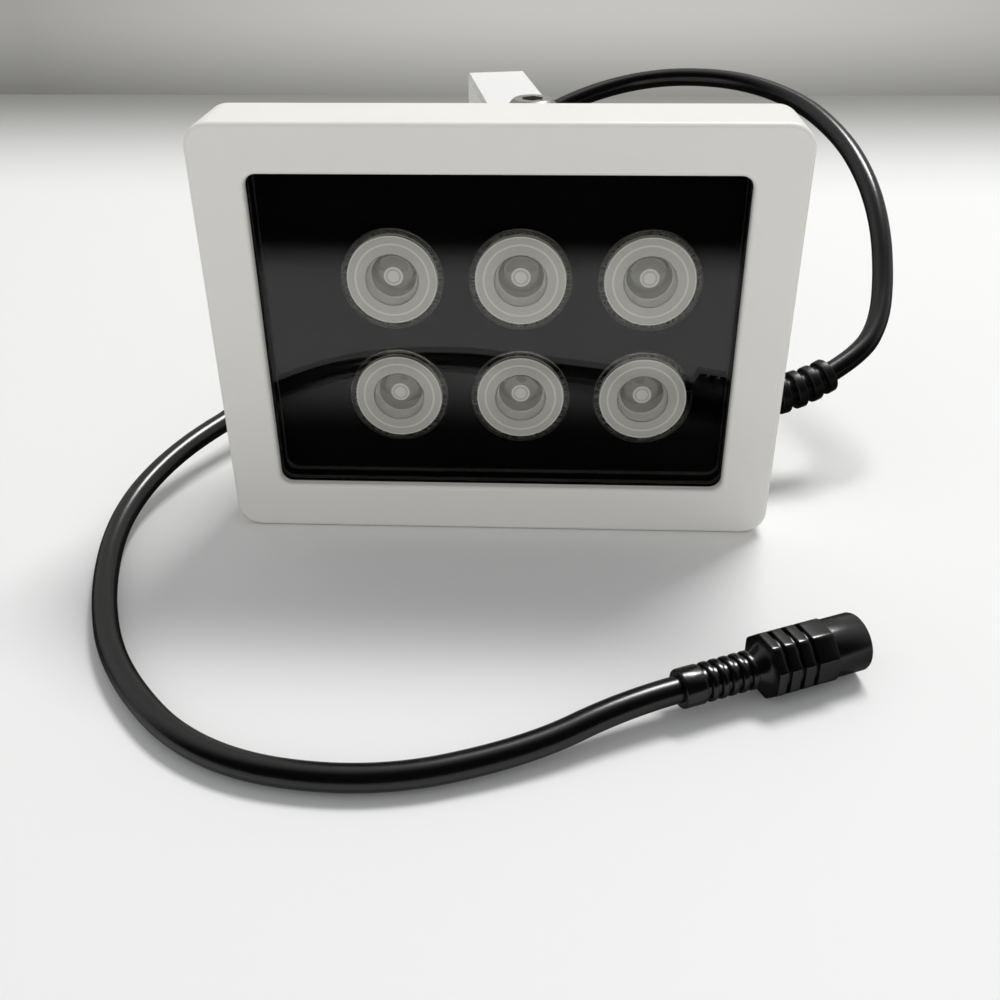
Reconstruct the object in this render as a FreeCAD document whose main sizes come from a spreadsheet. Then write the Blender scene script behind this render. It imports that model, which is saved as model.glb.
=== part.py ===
"""Infrared illuminator in millimetres.

A die-cast frame with a flat window stands in front of a matrix of six collimating
lenses.  A finned housing closes it at the back, a strap bracket swivels about two
pivot bolts, and a supply cord with an in-line socket leaves through a strain relief.

The origin is the centre of the front frame's foot: X runs across the window,
Y runs from the window to the back, and Z is up.
"""
import FreeCAD, Part
import math
import os
import re
import Sketcher
from FreeCAD import Placement, Rotation, Vector

os.makedirs("parts", exist_ok=True)
doc = FreeCAD.newDocument("infrared_illuminator")

# Driving sizes: name, value, what it is
SIZES = [
    ("frame_width", 115.0, "front frame, across"),
    ("frame_height", 86.5, "front frame, foot to top"),
    ("frame_depth", 16.0, "front frame, front to back"),
    ("frame_corner", 5.0, "radius of the frame's corners"),
    ("frame_edge", 1.0, "round on the frame's front edge"),
    ("frame_wall", 2.6, "frame side wall"),
    ("front_wall", 2.0, "frame wall round the window"),
    ("window_side", 10.3, "frame's front beside the window"),
    ("window_top", 9.5, "frame's front above the window"),
    ("window_foot", 10.5, "frame's front below the window"),
    ("window_corner", 2.5, "radius of the window's corners"),
    ("window_edge", 0.8, "round on the window's front edge"),
    ("glass_overlap", 2.5, "glass behind the window's lip"),
    ("glass_thickness", 3.2, "window glass"),
    ("glass_clearance", 0.3, "glass to its pocket"),
    ("seal_thickness", 0.5, "gasket in front of the glass"),
    ("rim_wall", 1.8, "wall of the glass pocket"),
    ("rim_stand", 0.5, "glass pocket past the back of the glass"),
    ("screw_inset", 4.75, "corner screw to the frame's outer face"),
    ("screw_post", 3.0, "radius of the frame's screw posts"),
    ("screw_shank", 1.2, "radius of the corner screws' shank"),
    ("screw_fit", 0.05, "play round a screw in its tapped hole"),
    ("screw_grip", 9.0, "corner screw inside its post"),
    ("screw_runout", 1.0, "tapped hole past a screw's end"),
    ("screw_passage", 0.5, "play round a screw in a through hole"),
    ("screw_head", 2.75, "radius of a corner screw's head"),
    ("screw_head_height", 1.8, "height of a corner screw's head"),
    ("screw_socket", 2.0, "hexagon of a corner screw, across flats"),
    ("gasket_thickness", 1.0, "gasket between frame and housing"),
    ("gasket_land", 5.7, "width of that gasket"),
    ("flange_step", 1.25, "housing flange in from the frame's outside"),
    ("flange_corner", 4.0, "radius of the flange's corners"),
    ("flange_thickness", 3.0, "housing flange"),
    ("back_side", 6.25, "flange beside the housing's back"),
    ("back_end", 8.5, "flange above and below the housing's back"),
    ("back_thickness", 3.6, "floor behind the lens board"),
    ("back_wall", 2.5, "walls of the two chambers"),
    ("recess_margin", 3.5, "rim of the housing back round the board recess"),
    ("recess_corner", 3.0, "radius of the recess's corners"),
    ("chamber_depth", 20.0, "chambers behind the flange"),
    ("driver_chamber_width", 20.0, "chamber with the driver, across"),
    ("cable_chamber_width", 13.0, "chamber with the cable entry, across"),
    ("chamber_corner", 3.0, "radius of the chambers' corners"),
    ("chamber_inside_corner", 1.0, "radius of the chambers' inside corners"),
    ("chamber_round", 1.5, "round on the chambers' back edges"),
    ("cast_draft", 1.0, "draft of the chambers, degrees"),
    ("fin_count", 13, "cooling fins"),
    ("fin_margin", 3.5, "outer fins from the chambers"),
    ("fin_root", 2.2, "fin at its root"),
    ("fin_crest", 1.4, "fin at its crest"),
    ("fin_height", 22.4, "fin above the back"),
    ("pivot_offset", 6.0, "swivel axis from the frame's middle"),
    ("pivot_back", 8.0, "swivel axis behind the flange"),
    ("pivot_post", 7.0, "radius of the pivot posts"),
    ("pivot_post_length", 15.0, "pivot post on the back's edge"),
    ("post_stand", 0.25, "pivot posts above and below the back"),
    ("pivot_shank", 2.5, "radius of the pivot bolts' shank"),
    ("pivot_play", 0.05, "play round the pivot bolts"),
    ("pivot_grip", 10.0, "pivot bolt inside its post"),
    ("pivot_head", 5.2, "radius of the pivot bolts' head"),
    ("pivot_head_height", 3.6, "height of the pivot bolts' head"),
    ("pivot_socket", 4.0, "hexagon of the pivot bolts, across flats"),
    ("washer_radius", 5.6, "radius of the steel washers"),
    ("washer_thickness", 1.4, "steel washers"),
    ("friction_radius", 6.0, "radius of the friction washers"),
    ("friction_thickness", 1.0, "friction washers"),
    ("strap_width", 13.2, "bracket strap"),
    ("strap_thickness", 2.0, "bracket steel"),
    ("strap_bend", 2.0, "inner radius of the bracket's bends"),
    ("strap_reach", 60.0, "swivel axis to the bracket's mounting face"),
    ("strap_turn", 10.2, "bracket as it stands, degrees"),
    ("mount_hole", 3.2, "radius of the bracket's middle hole"),
    ("fixing_hole", 2.6, "radius of the bracket's outer holes"),
    ("fixing_pitch", 44.0, "bracket's outer holes, middle to middle"),
    ("lens_pitch", 25.5, "lens to lens"),
    ("lens_flange", 10.25, "radius of a lens's flange"),
    ("lens_flange_thickness", 1.8, "lens flange"),
    ("lens_mouth", 8.9, "radius of a lens's body at the flange"),
    ("lens_root", 4.4, "radius of a lens's body at the board"),
    ("lens_length", 12.0, "lens, front to board"),
    ("lens_flank", 22.0, "radius of the lens flank's curve"),
    ("lens_gap", 0.7, "lens front behind the glass"),
    ("dish_mouth", 5.2, "radius of the dish in the lens's front"),
    ("dish_floor", 4.9, "radius of the dish at its floor"),
    ("dish_depth", 3.2, "dish at its edge"),
    ("dish_crown", 1.1, "bulge of the dish's floor"),
    ("pocket_mouth", 3.3, "radius of the emitter pocket at the board"),
    ("pocket_roof", 3.0, "radius of the emitter pocket at its roof"),
    ("pocket_depth", 4.4, "emitter pocket at its edge"),
    ("pocket_crown", 0.8, "bulge of the pocket's roof"),
    ("emitter_side", 3.5, "emitter package"),
    ("emitter_base", 0.7, "emitter package, thickness"),
    ("emitter_dome", 1.5, "radius of the emitter's dome"),
    ("mask_overlap", 0.3, "black mask past the glass, all round"),
    ("mask_corner", 3.0, "radius of the mask's corners"),
    ("mask_thickness", 1.5, "black mask"),
    ("mask_play", 0.2, "mask holes round the lenses"),
    ("mask_leg", 2.0, "radius of the mask's legs"),
    ("board_left", 13.85, "lens board from the recess's side at the driver"),
    ("board_right", 5.15, "lens board from the recess's other side"),
    ("board_foot", 0.95, "lens board from the recess's foot"),
    ("board_top", 3.05, "lens board from the recess's top"),
    ("board_corner", 1.5, "radius of the boards' corners"),
    ("board_thickness", 1.6, "both circuit boards"),
    ("board_screw_inset", 4.0, "screws from the boards' edges"),
    ("board_screw_head", 2.2, "radius of the board screws' head"),
    ("board_screw_height", 1.5, "height of the board screws' head"),
    ("board_screw_grip", 2.4, "board screw inside the casting"),
    ("board_screw_runout", 0.4, "tapped hole past a board screw's end"),
    ("driver_width", 12.6, "driver board, across"),
    ("driver_margin", 5.0, "driver board from its chamber's ends"),
    ("driver_gap", 1.8, "between the pieces on the driver board"),
    ("driver_post", 2.8, "radius of the driver board's posts"),
    ("driver_post_height", 3.0, "driver board's posts"),
    ("coil_side", 7.3, "driver coil, square"),
    ("coil_height", 4.5, "driver coil"),
    ("capacitor_radius", 3.15, "driver capacitor"),
    ("capacitor_height", 7.7, "driver capacitor"),
    ("terminal_width", 10.0, "supply terminal, up"),
    ("terminal_depth", 7.0, "supply terminal, across"),
    ("terminal_height", 8.0, "supply terminal, off the board"),
    ("gland_back", 6.5, "cable entry behind the flange"),
    ("gland_rise", 9.05, "cable entry above the back's foot"),
    ("gland_hole", 4.0, "radius of the cable entry"),
    ("gland_pad", 6.5, "radius of the flat round the cable entry"),
    ("gland_fit", 0.05, "play round the bushing's neck"),
    ("bushing_lip", 5.0, "radius of the bushing inside the wall"),
    ("bushing_lip_thickness", 1.5, "that lip"),
    ("bushing_collar", 5.25, "radius of the bushing outside the wall"),
    ("bushing_collar_thickness", 3.4, "that collar"),
    ("bushing_core", 3.1, "radius of the bushing between its rings"),
    ("bushing_ring", 4.9, "radius of the first ring"),
    ("bushing_ring_fall", 0.17, "each ring smaller than the last"),
    ("bushing_ring_count", 6, "rings of the bushing"),
    ("bushing_ring_width", 2.1, "ring along the bushing"),
    ("bushing_bend", 43.6, "radius that the bushing is bent to"),
    ("bushing_turn", 33.9, "bend of the bushing, degrees"),
    ("bushing_roll", 34.4, "direction of that bend above the level, degrees"),
    ("cord_radius", 2.4, "radius of the cord"),
    ("plug_turn", 23.4, "in-line socket as it lies, degrees"),
    ("plug_sleeve", 3.5, "radius of the socket's first collar"),
    ("plug_sleeve_length", 4.2, "that collar"),
    ("plug_neck", 2.9, "radius of the socket between its ribs"),
    ("plug_rib", 3.5, "radius of the socket's ribs"),
    ("plug_rib_count", 5, "ribs of the socket"),
    ("plug_rib_pitch", 2.0, "ribs, middle to middle"),
    ("plug_rib_width", 1.2, "rib along the socket"),
    ("plug_cone", 2.3, "length of the flare behind the grip"),
    ("plug_flare", 3.2, "radius of that flare's hollow curve"),
    ("plug_grip", 12.3, "length of the eight-sided grip"),
    ("plug_flats", 11.2, "grip across flats"),
    ("plug_groove_count", 3, "finger grooves round the grip"),
    ("plug_groove_first", 2.1, "first groove from the grip's end"),
    ("plug_groove_pitch", 2.8, "grooves, middle to middle"),
    ("plug_groove_width", 0.8, "groove along the grip"),
    ("plug_groove_depth", 0.5, "groove below the grip's flats"),
    ("plug_barrel", 5.35, "radius of the socket's barrel"),
    ("plug_barrel_length", 7.2, "that barrel"),
    ("insert_radius", 4.4, "radius of the black insert"),
    ("insert_bore", 2.8, "radius of the bore that takes the plug"),
    ("insert_depth", 10.0, "bore of the socket"),
    ("insert_floor", 1.5, "insert behind its bore"),
    ("pin_radius", 1.05, "radius of the middle pin"),
    ("pin_recess", 0.8, "pin behind the socket's front"),
    ("spring_width", 1.6, "contact spring"),
    ("spring_thickness", 0.3, "contact spring"),
]

# Levels and places that follow from the sizes
PLACES = {
    "front_face": "-frame_depth / 2",
    "frame_back": "frame_depth / 2",
    "frame_middle": "frame_height / 2",
    "window_width": "frame_width - 2 * window_side",
    "window_height": "frame_height - window_top - window_foot",
    "window_middle": "window_foot + window_height / 2",
    "lip_back": "front_face + front_wall",
    "glass_width": "window_width + 2 * glass_overlap",
    "glass_height": "window_height + 2 * glass_overlap",
    "glass_corner": "window_corner + glass_overlap",
    "glass_front": "lip_back + seal_thickness",
    "glass_back": "glass_front + glass_thickness",
    "lens_front": "glass_back + lens_gap",
    "mask_width": "glass_width + 2 * mask_overlap",
    "mask_height": "glass_height + 2 * mask_overlap",
    "mask_front": "lens_front + lens_flange_thickness",
    "mask_back": "mask_front + mask_thickness",
    "board_front": "lens_front + lens_length",
    "flange_front": "frame_back + gasket_thickness",
    "flange_back": "flange_front + flange_thickness",
    "recess_floor": "board_front + board_thickness",
    "back_face": "flange_back + back_thickness",
    "flange_width": "frame_width - 2 * flange_step",
    "flange_height": "frame_height - 2 * flange_step",
    "back_width": "flange_width - 2 * back_side",
    "back_height": "flange_height - 2 * back_end",
    "recess_width": "back_width - 2 * recess_margin",
    "recess_height": "back_height - 2 * recess_margin",
    "board_width": "recess_width - board_left - board_right",
    "board_height": "recess_height - board_foot - board_top",
    "lens_shift": "(board_left - board_right) / 2",
    "lens_level": "frame_middle + (board_foot - board_top) / 2",
    "screw_across": "frame_width - 2 * screw_inset",
    "screw_up": "frame_height - 2 * screw_inset",
    "chamber_back": "flange_back + chamber_depth",
    "chamber_floor": "chamber_back - back_wall",
    "driver_middle": "-back_width / 2 + driver_chamber_width / 2",
    "cable_middle": "back_width / 2 - cable_chamber_width / 2",
    "back_foot": "frame_middle - back_height / 2",
    "back_top": "frame_middle + back_height / 2",
    "pivot_depth": "flange_back + pivot_back",
    "post_top": "back_top + post_stand",
    "post_foot": "back_foot - post_stand",
    "leg_top_face": "post_top + friction_thickness",
    "leg_foot_face": "post_foot - friction_thickness",
    "strap_inside": "leg_top_face - leg_foot_face",
    "strap_middle": "(leg_foot_face + leg_top_face) / 2",
    "pivot_hole": "pivot_shank + pivot_play",
    "bolt_length": "washer_thickness + strap_thickness + friction_thickness + pivot_grip",
    "board_screw_across": "board_width - 2 * board_screw_inset",
    "board_screw_up": "board_height - 2 * board_screw_inset",
    "driver_back": "chamber_floor - driver_post_height",
    "driver_front": "driver_back - board_thickness",
    "driver_height": "back_height - 2 * back_wall - 2 * driver_margin",
    "driver_screw_up": "driver_height - 2 * board_screw_inset",
    "terminal_foot": "frame_middle - driver_screw_up / 2 + board_screw_head + driver_gap",
    "capacitor_foot": "terminal_foot + terminal_width + driver_gap",
    "coil_foot": "capacitor_foot + 2 * capacitor_radius + driver_gap",
    "gland_depth": "flange_back + gland_back",
    "gland_level": "back_foot + gland_rise",
    "plug_rib_end": "plug_sleeve_length + plug_rib_count * plug_rib_pitch",
    "plug_cone_end": "plug_rib_end + plug_cone",
    "plug_grip_end": "plug_cone_end + plug_grip",
    "plug_end": "plug_grip_end + plug_barrel_length",
}

# Middle line of the free cord, from the bushing round the back to the in-line socket
CORD_ROUTE = [
    (87.8, 36.7, 31.1), (90.0, 46.0, 37.8), (90.6, 57.2, 47.2),
    (88.9, 70.0, 55.8), (85.0, 86.5, 62.4), (76.6, 106.0, 67.6), (60.0, 121.5, 70.4),
    (36.0, 129.0, 68.9), (11.0, 121.5, 62.7), (-13.0, 104.0, 50.0), (-34.5, 83.0, 35.0),
    (-51.5, 58.5, 20.0), (-62.5, 33.5, 9.5), (-76.5, 10.5, 7.8), (-82.5, -12.0, 4.5),
    (-77.5, -38.5, 2.7), (-66.5, -62.0, 2.7), (-46.0, -82.5, 2.7), (-17.5, -87.0, 2.7),
    (7.5, -79.3, 3.2),
]
# First and last run of the cord, straight out of the bushing and into the socket
CORD_LEAD = 10.0
# Where the cord enters the in-line socket, on the surface that the lamp stands on
PLUG_START = (33.2, -65.8)

sheet = doc.addObject("Spreadsheet::Sheet", "Sizes")
for row, (alias, number, note) in enumerate(SIZES, 1):
    sheet.set("A%d" % row, note)
    sheet.set("B%d" % row, str(number))
    sheet.setAlias("B%d" % row, alias)
doc.recompute()
KNOWN = {alias for alias, number, note in SIZES}


def full(text):
    """Write a formula with every name in it traced back to the sheet."""
    def spell(match):
        name = match.group(0)
        if name in PLACES:
            return "(" + full(PLACES[name]) + ")"
        return "Sizes." + name if name in KNOWN else name
    return re.sub(r"[a-z][a-z_]*", spell, str(text))


def value(text):
    """Work a formula out."""
    result = sheet.evalExpression(full(text))
    return float(getattr(result, "Value", result))


def bind(thing, prop, text):
    """Tie a property to a formula of the sheet's sizes."""
    thing.setExpression(prop, full(text))


def put(thing, x="0", y="0", z="0"):
    """Place a piece by three formulas."""
    for axis, text in zip("xyz", (x, y, z)):
        bind(thing, "Placement.Base." + axis, text)


def body(label):
    """Start a body."""
    made = doc.addObject("PartDesign::Body", label)
    made.Label = label
    return made


def origin(owner, role):
    """Find a plane or an axis of a body's own origin."""
    return [item for item in owner.Origin.OriginFeatures if item.Role == role][0]


def sketch(owner, plane, at="0"):
    """Start a sketch on an origin plane, moved along the world axis that crosses it."""
    made = owner.newObject("Sketcher::SketchObject", owner.Name + "_sketch")
    made.AttachmentSupport = [(origin(owner, plane + "_Plane"), "")]
    made.MapMode = "FlatFace"
    sign = "-" if plane == "XZ" else ""
    bind(made, "AttachmentOffset.Base.z", sign + "(" + at + ")")
    return made


def pin(drawn, geometry, point, x, y):
    """Fix a point of a sketch at two formulas."""
    for kind, axis, text in (("DistanceX", -2, x), ("DistanceY", -1, y)):
        number = value(text)
        if abs(number) < 1e-9:
            drawn.addConstraint(Sketcher.Constraint("PointOnObject", geometry, point, axis))
            continue
        index = drawn.addConstraint(
            Sketcher.Constraint(kind, -1, 1, geometry, point, number))
        bind(drawn, "Constraints[%d]" % index, text)


def fix_radius(drawn, geometry, text):
    """Fix the radius of an arc or a circle of a sketch."""
    index = drawn.addConstraint(Sketcher.Constraint("Radius", geometry, value(text)))
    bind(drawn, "Constraints[%d]" % index, text)


def arc_between(start, end, radius, side):
    """Arc of a given radius from one point to the next, bulging left (1) or right (-1)."""
    chord = end - start
    middle = (start + end) * 0.5
    across = Vector(-chord.y, chord.x, 0).normalize() * side
    inset = math.sqrt(max(radius ** 2 - chord.Length ** 2 / 4.0, 0.0))
    centre = middle - across * inset
    begin, finish = (end, start) if side > 0 else (start, end)
    angles = [math.atan2(point.y - centre.y, point.x - centre.x) for point in (begin, finish)]
    whole = Part.Circle(centre, Vector(0, 0, 1), radius)
    return Part.ArcOfCircle(whole, angles[0], angles[1])


def outline(drawn, steps):
    """Draw a closed outline; a step is (x, y) or, after an arc, (x, y, radius, side)."""
    points = [Vector(value(step[0]), value(step[1]), 0) for step in steps]
    first = drawn.GeometryCount
    count = len(steps)
    ends = []
    for i, step in enumerate(steps):
        start, end = points[i - 1], points[i]
        if len(step) == 4:
            arc = arc_between(start, end, value(step[2]), step[3])
            number = drawn.addGeometry(arc, False)
            ends.append((number, 2, 1) if step[3] > 0 else (number, 1, 2))
            fix_radius(drawn, number, step[2])
        else:
            number = drawn.addGeometry(Part.LineSegment(start, end), False)
            ends.append((number, 1, 2))
    for i in range(count):
        number, begin, finish = ends[i]
        after, after_begin, after_finish = ends[(i + 1) % count]
        drawn.addConstraint(
            Sketcher.Constraint("Coincident", number, finish, after, after_begin))
        pin(drawn, number, finish, steps[i][0], steps[i][1])
    return first


def panel(drawn, x, y, width, height, corner):
    """Draw a rectangle with rounded corners about a middle point."""
    left, right = "%s - (%s) / 2" % (x, width), "%s + (%s) / 2" % (x, width)
    low, high = "%s - (%s) / 2" % (y, height), "%s + (%s) / 2" % (y, height)
    bend = "(%s)" % corner
    outline(drawn, [
        (left + " + " + bend, low, corner, -1), (right + " - " + bend, low),
        (right, low + " + " + bend, corner, -1), (right, high + " - " + bend),
        (right + " - " + bend, high, corner, -1), (left + " + " + bend, high),
        (left, high + " - " + bend, corner, -1), (left, low + " + " + bend)])


def rectangle(drawn, x, y, width, height):
    """Draw a plain rectangle about a middle point."""
    left, right = "%s - (%s) / 2" % (x, width), "%s + (%s) / 2" % (x, width)
    low, high = "%s - (%s) / 2" % (y, height), "%s + (%s) / 2" % (y, height)
    outline(drawn, [(left, low), (right, low), (right, high), (left, high)])


def circle(drawn, x, y, radius):
    """Draw a circle."""
    centre = Vector(value(x), value(y), 0)
    made = Part.Circle(centre, Vector(0, 0, 1), value(radius))
    number = drawn.addGeometry(made, False)
    pin(drawn, number, 3, x, y)
    fix_radius(drawn, number, radius)


def four(drawn, x, y, across, up, radius):
    """Draw a circle at each corner of a rectangle."""
    for side in ("-", "+"):
        for level in ("-", "+"):
            circle(drawn, "%s %s (%s) / 2" % (x, side, across),
                   "%s %s (%s) / 2" % (y, level, up), radius)


def hexagon(drawn, x, y, flats):
    """Draw a hexagon about a middle point, with two sides upright."""
    half, corner = "(%s) / 2" % flats, "(%s) / 2 / cos(30)" % flats
    short = "(%s) / 2 * tan(30)" % flats
    outline(drawn, [
        ("%s + %s" % (x, half), "%s - %s" % (y, short)),
        ("%s + %s" % (x, half), "%s + %s" % (y, short)),
        (x, "%s + %s" % (y, corner)),
        ("%s - %s" % (x, half), "%s + %s" % (y, short)),
        ("%s - %s" % (x, half), "%s - %s" % (y, short)),
        (x, "%s - %s" % (y, corner))])


def solid_of(feature):
    """Volume that a feature leaves, checked."""
    doc.recompute()
    if "Invalid" in feature.State or "Error" in feature.State or feature.Shape.isNull():
        raise RuntimeError(feature.Name + " failed: " + str(feature.State))
    return feature.Shape.Volume


def grow(owner, drawn, length, forward=True, draft=None, middle=False):
    """Pad a sketch; forward is +X, +Y or +Z."""
    before = owner.Shape.Volume if owner.Tip and not owner.Shape.isNull() else 0.0
    made = owner.newObject("PartDesign::Pad", owner.Name + "_pad")
    made.Profile = drawn
    bind(made, "Length", length)
    flat = drawn.AttachmentSupport[0][0].Role == "XZ_Plane"
    made.Reversed = forward if flat else not forward
    if middle:
        made.SideType = "Symmetric"
    if draft:
        bind(made, "TaperAngle", draft)
    if solid_of(made) <= before + 1e-6:
        raise RuntimeError(owner.Name + ": a pad adds nothing")
    drawn.Visibility = False
    return made


def cut(owner, drawn, depth=None, forward=True):
    """Pocket a sketch, through all where no depth is given."""
    before = owner.Shape.Volume
    made = owner.newObject("PartDesign::Pocket", owner.Name + "_pocket")
    made.Profile = drawn
    flat = drawn.AttachmentSupport[0][0].Role == "XZ_Plane"
    made.Reversed = (not forward) if flat else forward
    if depth:
        bind(made, "Length", depth)
    else:
        made.Type = "ThroughAll"
    if solid_of(made) >= before - 1e-6:
        raise RuntimeError(owner.Name + ": a pocket cuts nothing")
    drawn.Visibility = False
    return made


def turn(owner, drawn, axis="V_Axis"):
    """Revolve a sketch about one of its own axes."""
    made = owner.newObject("PartDesign::Revolution", owner.Name + "_revolution")
    made.Profile = drawn
    made.ReferenceAxis = (drawn, [axis])
    made.Angle = 360.0
    solid_of(made)
    drawn.Visibility = False
    return made


def repeat(owner, features, axis, length, count, second=None):
    """Repeat features in a row, or in rows and columns."""
    made = owner.newObject("PartDesign::LinearPattern", owner.Name + "_pattern")
    made.Originals = features
    made.Direction = (origin(owner, axis + "_Axis"), [""])
    bind(made, "Length", length)
    bind(made, "Occurrences", count)
    if second:
        made.Direction2 = (origin(owner, second[0] + "_Axis"), [""])
        bind(made, "Length2", second[1])
        bind(made, "Occurrences2", second[2])
    owner.Tip = made
    solid_of(made)
    return made


def edges(owner, test):
    """Names of the edges that a test on their middle and length accepts."""
    found = []
    for i, edge in enumerate(owner.Shape.Edges, 1):
        low, high = edge.ParameterRange
        if test(edge.valueAt((low + high) / 2.0), edge):
            found.append("Edge%d" % i)
    if not found:
        raise RuntimeError(owner.Name + ": no edge to round")
    return found


def soften(owner, names, size, kind="Fillet"):
    """Fillet or chamfer edges."""
    before = owner.Tip
    made = owner.newObject("PartDesign::" + kind, owner.Name + "_" + kind.lower())
    made.Base = (before, names)
    bind(made, "Radius" if kind == "Fillet" else "Size", size)
    solid_of(made)
    return made


def near(first, second):
    """Whether two lengths agree."""
    return abs(first - second) < 1e-4


def front_frame():
    """Cast frame: side walls, window lip, glass pocket and four screw posts."""
    made = body("front_frame")
    drawn = sketch(made, "XZ", "front_face")
    panel(drawn, "0", "frame_middle", "frame_width", "frame_height", "frame_corner")
    grow(made, drawn, "frame_depth")
    face = value("front_face")
    soften(made, edges(made, lambda at, edge: near(at.y, face)), "frame_edge")
    drawn = sketch(made, "XZ", "lip_back")
    panel(drawn, "0", "frame_middle", "frame_width - 2 * frame_wall",
          "frame_height - 2 * frame_wall", "frame_corner - frame_wall")
    cut(made, drawn, "frame_depth")
    drawn = sketch(made, "XZ", "front_face - 1")
    panel(drawn, "0", "window_middle", "window_width", "window_height", "window_corner")
    cut(made, drawn, "front_wall + 2")
    half = value("window_width / 2") + 0.1
    soften(made, edges(made, lambda at, edge: near(at.y, face) and abs(at.x) < half),
           "window_edge")
    drawn = sketch(made, "XZ", "lip_back")
    clear = "glass_width + 2 * glass_clearance", "glass_height + 2 * glass_clearance"
    panel(drawn, "0", "window_middle", clear[0] + " + 2 * rim_wall",
          clear[1] + " + 2 * rim_wall", "glass_corner + glass_clearance + rim_wall")
    panel(drawn, "0", "window_middle", clear[0], clear[1], "glass_corner + glass_clearance")
    grow(made, drawn, "seal_thickness + glass_thickness + rim_stand")
    drawn = sketch(made, "XZ", "lip_back")
    four(drawn, "0", "frame_middle", "screw_across", "screw_up", "screw_post")
    grow(made, drawn, "frame_back - lip_back")
    drawn = sketch(made, "XZ", "frame_back")
    four(drawn, "0", "frame_middle", "screw_across", "screw_up", "screw_shank + screw_fit")
    cut(made, drawn, "screw_grip + screw_runout", forward=False)


def ring_panel(label, at, thickness, middle, outer, inner, holes=None):
    """Flat ring between two rounded rectangles."""
    made = body(label)
    drawn = sketch(made, "XZ", at)
    panel(drawn, "0", middle, *outer)
    panel(drawn, "0", middle, *inner)
    if holes:
        four(drawn, "0", middle, *holes)
    grow(made, drawn, thickness)


def window():
    """Glass and the gasket that it presses against the lip."""
    ring_panel("glass_seal", "lip_back", "seal_thickness", "window_middle",
               ("glass_width", "glass_height", "glass_corner"),
               ("window_width", "window_height", "window_corner"))
    made = body("front_glass")
    drawn = sketch(made, "XZ", "glass_front")
    panel(drawn, "0", "window_middle", "glass_width", "glass_height", "glass_corner")
    grow(made, drawn, "glass_thickness")


def lens_spots():
    """Places of the six lenses, by row from the top left."""
    spots = []
    for row in ("+", "-"):
        for column in ("- lens_pitch", "+ 0", "+ lens_pitch"):
            spots.append(("lens_shift " + column, "lens_level %s lens_pitch / 2" % row))
    return spots


def mask_plate():
    """Black mask under the lens flanges, on four legs that stand on the board."""
    made = body("mask_plate")
    drawn = sketch(made, "XZ", "mask_front")
    panel(drawn, "0", "window_middle", "mask_width", "mask_height", "mask_corner")
    for x, z in lens_spots():
        circle(drawn, x, z, "lens_mouth + mask_play")
    grow(made, drawn, "mask_thickness")
    drawn = sketch(made, "XZ", "mask_front + mask_thickness / 2")
    for side in ("-", "+"):
        circle(drawn, "lens_shift %s board_screw_across / 2" % side, "lens_level", "mask_leg")
        circle(drawn, "lens_shift %s lens_pitch / 2" % side, "lens_level", "mask_leg")
    grow(made, drawn, "board_front - mask_front - mask_thickness / 2")


def lens(label, x, z):
    """Collimating lens: total-reflection flank, dished front and a pocket for the emitter."""
    made = body(label)
    drawn = sketch(made, "XY")
    dish = "(dish_floor ^ 2 + dish_crown ^ 2) / (2 * dish_crown)"
    roof = "(pocket_roof ^ 2 + pocket_crown ^ 2) / (2 * pocket_crown)"
    outline(drawn, [
        ("0", "dish_depth - dish_crown"),
        ("dish_floor", "dish_depth", dish, -1),
        ("dish_mouth", "0"),
        ("lens_flange", "0"),
        ("lens_flange", "lens_flange_thickness"),
        ("lens_mouth", "lens_flange_thickness"),
        ("lens_root", "lens_length", "lens_flank", -1),
        ("pocket_mouth", "lens_length"),
        ("pocket_roof", "lens_length - pocket_depth"),
        ("0", "lens_length - pocket_depth + pocket_crown", roof, -1)])
    turn(made, drawn)
    put(made, x, "lens_front", z)


def emitter(label, x, z):
    """Infrared emitter: square package with a clear dome."""
    made = body(label)
    drawn = sketch(made, "XZ")
    rectangle(drawn, "0", "0", "emitter_side", "emitter_side")
    grow(made, drawn, "emitter_base", forward=False)
    drawn = sketch(made, "XY")
    outline(drawn, [("0", "0"), ("emitter_dome", "0"), ("emitter_dome", "-emitter_base"),
                    ("0", "-emitter_base - emitter_dome", "emitter_dome", 1)])
    turn(made, drawn)
    put(made, x, "board_front", z)


def led_board():
    """Board that carries the six emitters, screwed to the housing floor."""
    made = body("led_board")
    drawn = sketch(made, "XZ", "board_front")
    panel(drawn, "lens_shift", "lens_level", "board_width", "board_height", "board_corner")
    four(drawn, "lens_shift", "lens_level", "board_screw_across", "board_screw_up",
         "screw_shank + screw_passage")
    grow(made, drawn, "board_thickness")


def screw(label, head, height, shank, length, socket, depth, spot, across, up):
    """Group of screws with hexagon sockets, heads towards -Y or, with a length < 0, +Y."""
    made = body(label)
    drawn = sketch(made, "XY")
    outline(drawn, [("0", "-(%s)" % height), ("(%s) * 0.7" % head, "-(%s)" % height),
                    (head, "-(%s) * 0.4" % height, height, -1),
                    (head, "0"), (shank, "0"), (shank, length), ("0", length)])
    whole = turn(made, drawn)
    drawn = sketch(made, "XZ", "-(%s)" % height)
    hexagon(drawn, "0", "0", socket)
    hole = cut(made, drawn, depth)
    repeat(made, [whole, hole], "X", across[0], across[1], ("Z", up[0], up[1]))
    put(made, *spot)
    return made


def board_screws():
    """Screws of the two boards."""
    sizes = ("board_screw_head", "board_screw_height", "screw_shank",
             "board_thickness + board_screw_grip", "screw_socket", "board_screw_height * 0.6")
    screw("board_screws", *sizes,
          ("lens_shift - board_screw_across / 2", "board_front",
           "lens_level - board_screw_up / 2"),
          ("board_screw_across", "2"), ("board_screw_up", "2"))


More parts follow.
